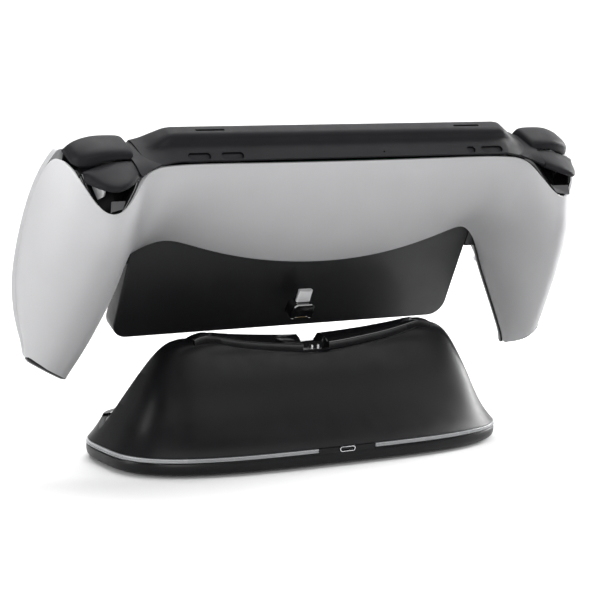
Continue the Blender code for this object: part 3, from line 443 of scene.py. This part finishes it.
# grip rows, from the trigger well down past the tip's slanted cut; each has 7 points (x, depth, height)
GRIP = (
    ((107.0, 24.9, 48.2), (113.2, 27.6, 45.4), (119.6, 34.6, 38.8), (129.0, 40.8, 31.2),
     (138.6, 35.6, 33.0), (144.6, 22.0, 43.6), (147.4, 0.0, 44.0)),
    ((107.0, 26.4, 40.0), (113.2, 30.6, 37.0), (120.4, 38.8, 31.0), (130.0, 44.2, 24.4),
     (141.4, 36.8, 25.0), (149.8, 20.0, 33.0), (151.8, -1.0, 33.0)),
    ((107.0, 27.2, 27.0), (113.4, 32.4, 25.0), (121.4, 41.4, 21.0), (131.2, 46.0, 16.0),
     (143.4, 38.2, 16.0), (153.0, 20.0, 20.0), (154.2, -1.0, 20.0)),
    ((107.0, 25.6, 12.5), (113.4, 31.8, 11.5), (121.6, 41.4, 9.0), (132.0, 46.4, 6.0),
     (145.0, 38.6, 5.0), (155.2, 20.0, 7.0), (155.2, -1.0, 7.0)),
    ((107.0, 20.0, -1.5), (113.0, 28.8, -1.5), (121.6, 40.2, -3.0), (132.8, 46.0, -5.0),
     (146.0, 38.8, -6.0), (156.2, 20.0, -5.0), (155.4, -1.0, -5.0)),
    ((107.0, 11.0, -12.4), (111.8, 24.6, -14.0), (121.0, 38.4, -15.0), (133.6, 45.2, -16.0),
     (147.2, 38.6, -17.0), (156.8, 20.4, -16.0), (155.2, -0.6, -16.0)),
    ((111.8, 13.6, -23.4), (115.4, 26.2, -24.0), (123.0, 38.0, -25.0), (134.8, 44.2, -26.0),
     (147.8, 38.2, -27.0), (157.0, 21.0, -26.0), (154.8, 0.6, -26.0)),
    ((117.2, 18.4, -34.6), (119.6, 28.6, -35.0), (126.0, 37.8, -35.5), (136.2, 43.0, -36.0),
     (148.4, 37.6, -37.0), (156.8, 22.4, -36.0), (153.8, 3.4, -36.0)),
    ((122.8, 23.2, -45.8), (124.4, 31.0, -46.0), (129.6, 37.6, -46.0), (138.0, 41.6, -46.0),
     (148.8, 37.0, -46.0), (156.2, 24.2, -45.0), (152.4, 7.4, -45.0)),
    ((128.4, 27.4, -57.0), (129.8, 32.4, -57.0), (133.6, 37.0, -57.0), (140.2, 39.8, -56.0),
     (149.0, 36.0, -54.0), (155.0, 26.0, -51.0), (151.2, 11.8, -51.0)),
    ((131.8, 29.8, -63.8), (132.8, 32.8, -63.8), (136.0, 36.0, -63.6), (141.6, 37.8, -62.4),
     (149.2, 34.6, -59.6), (154.0, 27.4, -55.4), (150.4, 15.4, -55.0)),
    ((133.9, 31.2, -72.0), (134.8, 33.4, -72.0), (137.6, 35.4, -72.0), (142.6, 36.2, -71.5),
     (148.6, 33.4, -70.0), (152.4, 27.8, -68.0), (149.4, 17.6, -67.0)),
)
# the slanted cut across the right grip's tip, in (x, -depth, height)
GRIP_END = Vector((142.6, -37.0, -57.8))
GRIP_END_NORMAL = Vector((0.483, -0.317, -0.818)).normalized()
BELLY_SHARES = (0.0, 0.16, 0.40, 0.66, 0.88, 1.0)
BELLY_FULLNESS = 0.8        # lower is a boxier belly
SHELL_LEVELS = 3
SHELL_THICKNESS = 2.0


def belly_column(row):
    """Points of one belly section; depth bulges between the two edges."""
    x, top_depth, top_height, crest, low_depth, low_height = row
    points = []
    for share in BELLY_SHARES:
        edge = top_depth + (low_depth - top_depth) * share
        bulge = 0
        if 0 < share < 1:
            bulge = (crest - (top_depth + low_depth) / 2) * math.sin(math.pi * share) ** BELLY_FULLNESS
        points.append(spot(x, edge + bulge, top_height + (low_height - top_height) * share))
    return points


# rise past the cut, and share of the grip's outline
CAP_LEVELS = ((-1.2, 0.92), (0.1, 0.94), (0.8, 0.90), (1.3, 0.78), (1.5, 0.4))


def grip_end(side):
    """A point on a grip's slanted end, and the direction out of the grip."""
    point = Vector((GRIP_END.x * side, GRIP_END.y, GRIP_END.z))
    normal = Vector((GRIP_END_NORMAL.x * side, GRIP_END_NORMAL.y, GRIP_END_NORMAL.z))
    return point, normal


def cut_grip_end(sheet, side):
    """Trims a sheet, before it gets its thickness, at the grip's slanted end."""
    settle(sheet)
    point, normal = grip_end(side)
    shape = bmesh.new()
    shape.from_mesh(sheet.data)
    bmesh.ops.bisect_plane(shape, geom=[*shape.verts, *shape.edges, *shape.faces], clear_outer=True,
                           plane_co=CONSOLE @ (point * MM), plane_no=CONSOLE.to_3x3() @ normal)
    shape.to_mesh(sheet.data)
    shape.free()


def build_grip_cap(word, side):
    """Black end cap, a shallow dome on the slanted cut."""
    point, normal = grip_end(side)
    ends = list(zip(GRIP[-2], GRIP[-1])) + list(zip(*front_rows()[-2:]))[1:-1]
    outline = []
    for above, below in ends:
        start, stop = spot(side * above[0], *above[1:]), spot(side * below[0], *below[1:])
        outline.append(start.lerp(stop, (point - start).dot(normal) / (stop - start).dot(normal)))
    outline = [Vector(corner) for corner in closed_curve([tuple(corner) for corner in outline], 4)]
    centre = sum(outline, Vector()) / len(outline)
    rings = [[centre.lerp(corner, share) + normal * rise for corner in outline] for rise, share in CAP_LEVELS]
    finish_piece(loft(f"grip_end_cap_{word}", rings), SATIN, "console", (f"grip_cap_{word}",))


def build_rear_cover():
    shape = bmesh.new()
    columns = [[shape.verts.new(point) for point in belly_column(row)] for row in BELLY]
    grip = [[shape.verts.new(spot(*point)) for point in row] for row in GRIP]
    columns.append([row[0] for row in grip[:6]])
    for left, right in zip(columns, columns[1:]):
        for k in range(5):
            shape.faces.new((left[k], left[k + 1], right[k + 1], right[k]))
    for upper, lower in zip(grip, grip[1:]):
        for k in range(6):
            shape.faces.new((upper[k], lower[k], lower[k + 1], upper[k + 1]))
    cover = mesh_object("rear_shell", shape, tidy=False)
    mirror(cover)
    subdivide(cover, SHELL_LEVELS)
    for side in (-1, 1):
        cut_grip_end(cover, side)
    thicken(cover, SHELL_THICKNESS)
    settle(cover)
    bevel(cover, 0.35, 2, 60.0)
    finish_piece(cover, WHITE, "console", ("rear_cover",), 50.0)


def front_rows():
    """Grip front, from the trigger end to the tip: outer edge, rounded front, inner edge."""
    rows = []
    for number, row in enumerate(GRIP):
        outer_x, outer_depth, height = row[-1]
        inner_x, inner_depth, inner_height = row[0]
        if number < 4:
            inner_x, inner_depth, inner_height = 103.6, 1.6, height
        elif number < 6:
            inner_x, inner_depth, inner_height = 105.6 + 3.4 * (number - 4), 3.0 + 4.4 * (number - 4), height
        else:
            inner_x += 2.0
        front = -3.4 if number < 8 else -3.4 + 6.0 * (number - 7)
        rows.append([
            (outer_x - 0.1, outer_depth - 0.15, height),
            (outer_x - 2.2, (outer_depth + front) / 2 - 0.6, height),
            (outer_x - 9.0, front + 0.6, height),
            ((inner_x + outer_x) / 2, front - 0.4, (height + inner_height) / 2),
            (inner_x + (6.0 if number > 5 else 7.0), min(front + 1.0, inner_depth - 1.5), inner_height),
            (inner_x + 0.6, inner_depth - 1.6, inner_height),
        ])
    return rows


def seat(x, depth, height):
    """Placement of a front control: its Z points out of the front, towards the player."""
    return CONSOLE @ Matrix.Translation(spot(x, depth, height) * MM) @ Matrix.Rotation(-math.pi / 2, 4, "X")


STICK_X, STICK_HEIGHT, STICK_DEPTH = 121.0, -10.0, 7.0
STICK_HOLE = 11.6
PAD_X, PAD_HEIGHT = 128.0, 21.0
FRONT_FACE = -3.8
PAD_ARM, PAD_HALF = 12.0, 4.0


def pad_outline(grow=0.0):
    a, b = PAD_ARM + grow, PAD_HALF + grow
    return [(b, -a), (b, -b), (a, -b), (a, b), (b, b), (b, a),
            (-b, a), (-b, b), (-a, b), (-a, -b), (-b, -b), (-b, -a)]


SMALL_KEYS = {"create_button": (-111.5, 36.0, 3.0, 7.0), "options_button": (111.5, 36.0, 3.0, 7.0),
              "mute_button": (125.5, -33.0, 5.6, 3.4)}
BUTTON_SPREAD, BUTTON_RADIUS = 9.6, 4.6
ROUND_BUTTONS = {"button_north": (PAD_X, PAD_HEIGHT + BUTTON_SPREAD, BUTTON_RADIUS),
                 "button_east": (PAD_X + BUTTON_SPREAD, PAD_HEIGHT, BUTTON_RADIUS),
                 "button_south": (PAD_X, PAD_HEIGHT - BUTTON_SPREAD, BUTTON_RADIUS),
                 "button_west": (PAD_X - BUTTON_SPREAD, PAD_HEIGHT, BUTTON_RADIUS),
                 "home_button": (-124.5, -33.0, 3.8)}


def small_outline(wide, tall, grow=0.0):
    return rounded_rectangle(-wide / 2 - grow, wide / 2 + grow, -tall / 2 - grow, tall / 2 + grow,
                             min(wide, tall) / 2 + grow - 0.1)


def build_front_cover(word, side):
    shape = grid([[spot(side * x, d, h) for x, d, h in row] for row in front_rows()])
    cover = mesh_object(f"front_shell_{word}", shape, tidy=False)
    subdivide(cover, SHELL_LEVELS)
    cut_grip_end(cover, side)
    thicken(cover, SHELL_THICKNESS, -1.0 if side > 0 else 1.0)
    settle(cover)
    stick_seat = seat(side * STICK_X, STICK_DEPTH, STICK_HEIGHT)
    cut(cover, prism("hole", circle(STICK_HOLE, 64), -3.0, 27.0, "Z", stick_seat))
    if side < 0:
        cut(cover, prism("hole", pad_outline(0.6), -12.0, 8.0, "Z", seat(-PAD_X, FRONT_FACE, PAD_HEIGHT)))
    for x, height, wide, tall in SMALL_KEYS.values():
        if x * side > 0:
            outline = small_outline(wide, tall, 0.3)
            cut(cover, prism("hole", outline, -12.0, 8.0, "Z", seat(x, FRONT_FACE, height)))
    for x, height, radius in ROUND_BUTTONS.values():
        if x * side > 0:
            cut(cover, prism("hole", circle(radius + 0.35, 48), -12.0, 8.0, "Z", seat(x, FRONT_FACE, height)))
    finish_piece(cover, WHITE, "console", (f"front_cover_{word}",), 45.0)


# offsets from the rear cover's inner edge: sideways and towards the player
TRIM_SECTION = ((-0.45, 0.6), (-0.35, 3.0), (1.6, 6.5))


def build_inner_trim(word, side):
    """Black trim that covers a grip's inner edge, and the web between the grip and the screen part."""
    rows = []
    for row in GRIP[5:]:
        x, depth, height = row[0]
        rows.append([spot(side * (x + shift), depth - ahead, height) for shift, ahead in TRIM_SECTION])
    trim = mesh_object(f"grip_trim_{word}", grid(rows), tidy=False)
    subdivide(trim, 2)
    cut_grip_end(trim, side)
    thicken(trim, 1.3, 0.0)
    finish_piece(trim, SATIN, "console")
    web = block(f"grip_web_{word}", (6.8, 8.0, 61.0), (side * 104.2, -6.2, 15.5))
    bevel(web, 0.6, 2)
    finish_piece(web, SATIN, "console")


STICK_PROFILE = ((0.0, 19.55), (2.5, 19.6), (5.0, 19.8), (6.6, 20.2), (7.6, 20.9), (8.5, 21.2), (9.2, 20.9),
                 (9.5, 20.2), (9.5, 19.4), (9.2, 18.8), (8.2, 18.3), (7.0, 18.0), (4.6, 17.4), (3.4, 16.6),
                 (2.8, 15.2), (2.7, 12.4), (3.0, 10.4), (4.0, 9.8), (5.4, 9.2), (7.1, 7.8), (8.4, 6.3),
                 (9.3, 4.8), (9.9, 3.0), (10.2, 0.8), (9.2, 0.8), (0.0, 3.3))


def build_front_controls():
    for word, side in (("left", -1), ("right", 1)):
        stick_seat = seat(side * STICK_X, STICK_DEPTH, STICK_HEIGHT)
        stick = turned(f"stick_cap_{word}", STICK_PROFILE, 64, stick_seat)
        finish_piece(stick, RUBBER, f"stick_{word}", (f"stick_{word}",), 60.0)
    pad = prism("direction_cross", pad_outline(), -3.4, 1.6, "Z", seat(-PAD_X, FRONT_FACE, PAD_HEIGHT))
    bevel(pad, 0.6, 3, 60.0)
    finish_piece(pad, CAP_WHITE, "direction_pad", ("direction_pad",))
    for name, (x, height, radius) in ROUND_BUTTONS.items():
        profile = ((0.0, 1.42), (radius * 0.6, 1.4), (radius - 0.7, 1.25), (radius - 0.2, 0.95),
                   (radius, 0.4), (radius, -4.2), (0.0, -4.2))
        button = turned(name + "_cap", profile, 48, seat(x, FRONT_FACE, height))
        finish_piece(button, SATIN if name == "home_button" else CAP_WHITE, name, (name,), 50.0)
    for name, (x, height, wide, tall) in SMALL_KEYS.items():
        key = prism(name + "_cap", small_outline(wide, tall), -4.0, 1.4, "Z", seat(x, FRONT_FACE, height))
        bevel(key, 0.4, 3, 60.0)
        finish_piece(key, CAP_WHITE, name, (name,))


# ---------------------------------------------------------------- top band
FRAME_PROFILE = ((1.2, 54.4), (7.2, 59.1), (8.6, 59.7), (13.8, 59.6), (14.9, 58.8), (15.5, 55.6),
                 (17.2, 54.2), (19.6, 53.5), (24.6, 51.0))
FRAME_END = ((1.2, 47.6), (2.2, 49.6), (4.0, 50.2), (8.0, 50.4), (12.0, 50.3), (15.5, 50.1),
             (18.0, 49.8), (21.0, 49.4), (25.6, 48.4))
FRAME_STATIONS = ((0.0, 0.0), (48.0, 0.0), (94.0, 0.0), (97.0, 0.06), (102.0, 0.42), (107.0, 0.8),
                  (111.6, 1.0))
KEYS = (("volume_up_button", -84.0, 11.6), ("volume_down_button", -66.0, 11.6),
        ("link_button", 74.0, 4.4), ("power_button", 87.0, 12.6))
KEY_DEPTH = 22.4


def key_placement(x):
    (d0, h0), (d1, h1) = FRAME_PROFILE[-2:]
    height = h0 + (h1 - h0) * (KEY_DEPTH - d0) / (d1 - d0)
    tilt = Matrix.Rotation(math.atan2(h0 - h1, d1 - d0), 4, "X")
    return CONSOLE @ Matrix.Translation(spot(x, KEY_DEPTH, height) * MM) @ tilt


def build_top_band():
    rows = []
    for x, share in FRAME_STATIONS[:3] + tuple(smooth_rows(FRAME_STATIONS[3:], 4)):
        rows.append([spot(x, a[0] + (b[0] - a[0]) * share, a[1] + (b[1] - a[1]) * share)
                     for a, b in zip(FRAME_PROFILE, FRAME_END)])
    band = mesh_object("top_band", grid(rows), tidy=False)
    mirror(band)
    bevel(band, 0.7, 3, 12.0)
    thicken(band, 1.2, 1.0)
    settle(band)
    for side in (-1, 1):
        slot = rounded_rectangle(side * 75.0 - 8.0, side * 75.0 + 8.0, -12.4, -10.8, 0.79)
        cut(band, prism("vent", slot, 56.6, 62.6, "Z"))
    for name, x, length in KEYS:
        hole = rounded_rectangle(-length / 2 - 0.3, length / 2 + 0.3, -1.9, 1.9, 1.85)
        cut(band, prism("key_hole", hole, -6.0, 4.0, "Z", key_placement(x)))
        outline = rounded_rectangle(-length / 2, length / 2, -1.6, 1.6, 1.55)
        key = prism(name + "_cap", outline, -2.6, 0.5, "Z", key_placement(x))
        bevel(key, 0.35, 3, 60.0)
        finish_piece(key, BAND, name, (name,))
    cut(band, prism("microphone_hole", circle(0.55, 20), -6.0, 4.0, "Z", key_placement(20.5)))
    finish_piece(band, BAND, "console", ("top_frame",), 30.0)


# ---------------------------------------------------------------- tablet
def build_tablet():
    outline = rounded_rectangle(-100.8, 100.8, -59.6, 53.8, 9.0, 12)
    body = prism("tablet_body", outline, -10.0, 0.0, "Y")
    inner = rounded_rectangle(-99.2, 99.2, -58.0, 52.2, 7.4, 12)
    cut(body, prism("tray", inner, -8.6, 5.0, "Y"))
    bevel(body, 0.7, 3, 50.0)
    finish_piece(body, SATIN, "console", ("display_housing",), 40.0)
    pane = prism("cover_pane", rounded_rectangle(-98.9, 98.9, -57.7, 51.9, 7.1, 12), -1.0, -0.1, "Y")
    bevel(pane, 0.3, 2, 50.0)
    finish_piece(pane, PANE, "console", ("display_glass",))


# ---------------------------------------------------------------- shoulders
TRIGGER_STATIONS = ((118.3, 50.1, 31.8), (122.0, 50.2, 35.2), (127.0, 49.7, 38.2), (132.0, 48.5, 38.8),
                    (136.4, 47.2, 35.0), (140.6, 45.8, 27.6), (142.2, 45.0, 23.6))
BUMPER_STATIONS = ((115.8, 50.6, 16.0, 3.4), (116.6, 53.0, 18.2, 4.2), (119.0, 54.2, 18.8, 4.6),
                   (125.0, 54.5, 19.0, 4.8), (132.0, 54.1, 18.8, 6.2), (138.0, 52.5, 17.8, 7.8),
                   (142.4, 50.2, 15.8, 6.0), (144.8, 47.6, 12.2, 3.2))


def trigger_section(top, reach):
    """The lever passes under the bumper, rises behind it and runs out to a thin lip."""
    return ((10.0, top - 8.0), (10.6, top - 4.8), (18.2, top - 4.4), (20.0, top - 0.8), (21.8, top),
            (21.8 + 0.45 * (reach - 21.8), top - 0.4), (reach - 1.8, top - 1.4), (reach, top - 2.8),
            (reach - 0.4, top - 4.2), (reach - 2.8, top - 5.0), (19.0, top - 7.4))


def bumper_section(top, reach, thickness):
    return ((0.8, top - thickness), (1.3, top - 1.7), (3.6, top - 0.3), (8.0, top), (reach - 4.0, top - 0.2),
            (reach - 1.0, top - 1.1), (reach, top - 2.8), (reach - 0.5, top - thickness + 0.2),
            (6.0, top - thickness))


def closed_curve(points, steps):
    """A closed Catmull-Rom curve through points with two or three coordinates."""
    around = [points[-1], *points, points[0], points[1]]
    rows = smooth_rows(around, steps)
    return [tuple(row) for row in rows[steps:-steps * 2][:len(points) * steps]]


def build_shoulder(word, side):
    for kind, table, section in (("trigger", TRIGGER_STATIONS, trigger_section),
                                 ("bumper", BUMPER_STATIONS, bumper_section)):
        rings = []
        for x, *shape in smooth_rows(table, 6):
            rings.append([spot(side * x, d, h) for d, h in closed_curve(section(*shape), 4)])
        lever = loft(f"{kind}_{word}_lever", rings)
        bevel(lever, 0.2, 2, 60.0)
        finish_piece(lever, BAND, f"{kind}_{word}", (f"{kind}_{word}",), 50.0)
    build_well(word, side)


# the liner's section, from the rim inwards: rise along the console's height, and pull towards the middle
WELL_SECTION = ((-1.6, 2.2), (0.0, 2.3), (0.5, 2.9), (0.4, 3.6), (-0.6, 4.3), (-5.0, 5.4), (-11.0, 7.0))
WELL_MIDDLE = (131.0, 14.0)        # x, depth


def build_well(word, side):
    """Gloss liner of the trigger opening: a rounded rim just inside the white edge, then a wall going in."""
    rim = smooth_rows(GRIP[0][:-1], 6)
    rows = []
    for rise, pull in WELL_SECTION:
        row = []
        for x, depth, height in rim:
            inward = Vector((WELL_MIDDLE[0] - x, WELL_MIDDLE[1] - depth, 0)).normalized() * pull
            row.append(spot(side * (x + inward.x), depth + inward.y, height + rise))
        rows.append(row)
    liner = mesh_object(f"trigger_well_{word}_rim", grid(rows), tidy=False)
    subdivide(liner, 1)
    thicken(liner, 0.8, 1.0 if side > 0 else -1.0)
    finish_piece(liner, GLOSS, "console", (f"trigger_well_{word}",), 50.0)


# two grey patches on the gloss wall of each trigger well: a painted reflection
WELL_REFLECTION_PATCHES = (((140.0, 23.6, 43.6), (134.8, 33.0, 42.6), (135.6, 33.8, 39.4), (137.4, 32.0, 36.8)),
               ((132.8, 37.0, 38.4), (123.4, 34.0, 36.6), (125.4, 36.8, 34.2), (133.4, 39.8, 34.4)))


FLOOR_PROFILE = ((1.6, 46.5), (1.9, 41.5), (12.0, 40.0), (22.0, 35.0), (33.0, 27.0))    # depth, height
# x, rise, and share of the profile's depth
FLOOR_STATIONS = ((107.6, 3.0, 0.5), (112.0, 0.0, 0.58), (118.0, 0.0, 0.75), (126.0, 0.0, 1.0),
                  (134.0, -1.0, 0.95), (140.0, -2.0, 0.6), (144.0, -3.0, 0.45))


def build_well_floor(word, side):
    """Black tray and fence that close the gaps at the levers, and two grey gloss patches on the well's wall
    that carry a painted reflection.
    """
    front = FLOOR_PROFILE[0][0]
    rows = [[spot(side * x, front + (d - front) * share, h + rise) for d, h in FLOOR_PROFILE]
            for x, rise, share in FLOOR_STATIONS]
    tray = mesh_object(f"well_floor_{word}", grid(rows), tidy=False)
    thicken(tray, 1.0, 0.0)
    finish_piece(tray, SATIN, "console")
    finish_piece(block(f"well_fence_{word}", (1.6, 4.0, 6.0), (side * 142.8, -18.5, 40.6)), SATIN, "console")
    # the patches are a painted reflection in grey, not a part of the console
    for number, corners in enumerate(WELL_REFLECTION_PATCHES):
        rings = [[spot(side * x, d - sink, h - sink) for x, d, h in corners] for sink in (0.0, 0.8)]
        finish_piece(loft(f"well_reflection_patch_{word}_{number}", rings), PAINTED_REFLECTION_GREY, "console")


BRIDGE = (
    ((103.0, 25.6, 49.8), (110.2, 26.8, 48.4), (113.2, 28.6, 47.7), (115.8, 30.6, 47.4), (118.1, 31.9, 47.2)),
    ((104.0, 20.6, 49.9), (111.0, 22.8, 49.8), (113.8, 24.2, 49.7), (116.2, 25.4, 49.6), (118.1, 26.2, 49.6)),
    ((106.0, 14.0, 49.8), (111.6, 14.2, 49.9), (114.2, 16.4, 49.8), (116.4, 17.6, 49.8), (118.1, 18.6, 49.8)),
    ((109.4, 8.0, 50.0), (111.8, 8.0, 49.9), (114.2, 8.0, 49.7), (116.4, 8.0, 49.4), (118.1, 8.0, 49.2)),
    ((109.4, 3.4, 49.6), (111.8, 3.4, 49.5), (114.2, 3.4, 49.2), (116.4, 3.4, 48.9), (118.1, 3.4, 48.7)),
    ((109.4, 1.3, 47.4), (111.8, 1.3, 47.2), (114.2, 1.3, 47.0), (116.4, 1.3, 46.8), (118.1, 1.3, 46.6)),
)


def build_shoulder_bridge(word, side):
    """Satin skin from the band's end to the trigger, level with both."""
    rows = [[spot(side * x, d, h) for x, d, h in row] for row in BRIDGE]
    bridge = mesh_object(f"shoulder_bridge_{word}", grid(rows), tidy=False)
    subdivide(bridge, 2)
    thicken(bridge, 1.2, 1.0 if side > 0 else -1.0)
    finish_piece(bridge, BAND, "console")


def build_console():
    build_rear_cover()
    for word, side in (("left", -1), ("right", 1)):
        build_front_cover(word, side)
        build_shoulder(word, side)
        build_shoulder_bridge(word, side)
        build_well_floor(word, side)
        build_inner_trim(word, side)
        build_grip_cap(word, side)
    build_front_controls()
    build_top_band()
    build_tablet()


# ---------------------------------------------------------------- camera, light and floor
def place_camera():
    right = Vector((0.85660694, -0.51553572, 0.02115354))
    up = Vector((0.05755938, 0.13622088, 0.98900495))
    ahead = Vector((0.51274893, 0.84597092, -0.14636167))
    camera = bpy.data.objects.new("camera", bpy.data.cameras.new("camera"))
    camera.data.lens = 125.1
    camera.data.sensor_width = 36.0
    camera.data.clip_end = 50.0
    turn = Matrix((right, up, -ahead)).transposed().to_4x4()
    camera.matrix_world = Matrix.Translation((-0.55372710, -0.90599762, 0.23549393)) @ turn
    bpy.context.scene.collection.objects.link(camera)
    bpy.context.scene.camera = camera


def add_area_light(name, place, target, size, power):
    light = bpy.data.objects.new(name, bpy.data.lights.new(name, "AREA"))
    light.data.shape = "RECTANGLE"
    light.data.size, light.data.size_y = size
    light.data.energy = power
    light.location = place
    light.rotation_euler = (Vector(target) - Vector(place)).to_track_quat("-Z", "Y").to_euler()
    bpy.context.scene.collection.objects.link(light)


FLOOR_BEND, FLOOR_RADIUS = 1.6, 0.8        # metres


def build_stage():
    """A pale floor that curves up behind the object, and soft lights round it."""
    curve = arc((FLOOR_BEND, FLOOR_RADIUS), FLOOR_RADIUS, -90, 0, 12)
    profile = [(-3.0, 0.0), *curve, (FLOOR_BEND + FLOOR_RADIUS, 3.2)]
    shape = grid([[(x, y, z) for y, z in profile] for x in (-3.2, 3.2)])
    turn = Matrix.Rotation(math.radians(-31.0), 4, "Z") @ Matrix.Scale(1000.0, 4)
    floor = mesh_object("floor", shape, turn, tidy=False)
    material = bpy.data.materials.new("floor_paint")
    material.use_nodes = True
    tree = material.node_tree
    shader = tree.nodes["Principled BSDF"]
    shader.inputs["Roughness"].default_value = 0.9
    shader.inputs["Specular IOR Level"].default_value = 0.1
    cloud = remap(tree, noise(tree, 3.0), 0.0, 1.0)
    paint = blend_colours(tree, cloud, (0.90, 0.90, 0.905), (0.92, 0.92, 0.92))
    tree.links.new(paint, shader.inputs["Base Color"])
    floor.data.materials.append(material)
    floor.data.polygons.foreach_set("use_smooth", [True] * len(floor.data.polygons))
    floor.visible_diffuse = False       # the studio's floor doesn't fill the shadows from below

    world = bpy.data.worlds.new("studio")
    world.use_nodes = True
    world.node_tree.nodes["Background"].inputs["Color"].default_value = (1.0, 1.0, 1.0, 1.0)
    world.node_tree.nodes["Background"].inputs["Strength"].default_value = 0.07
    bpy.context.scene.world = world
    add_area_light("top", (0.1, 0.5, 2.2), (0.2, 0.5, 0.0), (3.0, 2.6), 66.0)
    add_area_light("front", (-0.8, -1.6, 0.45), (0.0, 0.0, 0.15), (1.0, 0.7), 14.0)
    add_area_light("left", (-1.35, 0.25, 0.35), (-0.1, 0.0, 0.12), (0.4, 0.8), 8.5)
    add_area_light("right", (1.1, 0.1, 0.4), (0.1, 0.0, 0.12), (0.4, 0.8), 16.0)
    add_area_light("sheen", (0.55, -1.15, 0.75), (0.0, -0.02, 0.05), (1.2, 0.2), 5.0)
    add_area_light("backdrop", (0.7, 0.9, 2.4), (1.1, 1.9, 0.6), (3.2, 1.0), 60.0)
    bpy.context.scene.view_settings.view_transform = "Standard"


build_dock()
build_console()
place_camera()
build_stage()

NODE_MATERIALS = (
    (WHITE, ("rear_cover", "front_cover_left", "front_cover_right")),
    (CAP_WHITE, ("direction_pad", "button_north", "button_east", "button_south", "button_west",
                 "create_button", "options_button", "mute_button")),
    (GLOSS, ("trigger_well_left", "trigger_well_right", "adapter_housing", "lcd_module")),
    (PANE, ("display_glass",)),
    (PLATE, ("adapter_plug", "pogo_pin_left", "pogo_pin_right")),
    (STEEL, ("usb_c_port", "trigger_pin_left", "trigger_pin_right",
             "stick_base_left", "stick_base_right", "stick_pivot_left", "stick_pivot_right")),
    (GOLD, ("adapter_contact_plate",)),
    (RUBBER, ("dock_foot_pad", "stick_left", "stick_right")),
    (BOARD, ("main_board", "dock_circuit_board")),
    (WRAP, ("battery",)),
    (BAND, ("top_frame", "trigger_left", "trigger_right", "bumper_left", "bumper_right", "volume_up_button",
            "volume_down_button", "link_button", "power_button")),
)


def paint_cad_nodes():
    """Gives every CAD node that still shows its procedural material."""
    finish_of = {name: material for material, names in NODE_MATERIALS for name in names}
    for name, node in NODES.items():
        node.data.materials.clear()
        node.data.materials.append(finish_of.get(name, SATIN))


paint_cad_nodes()
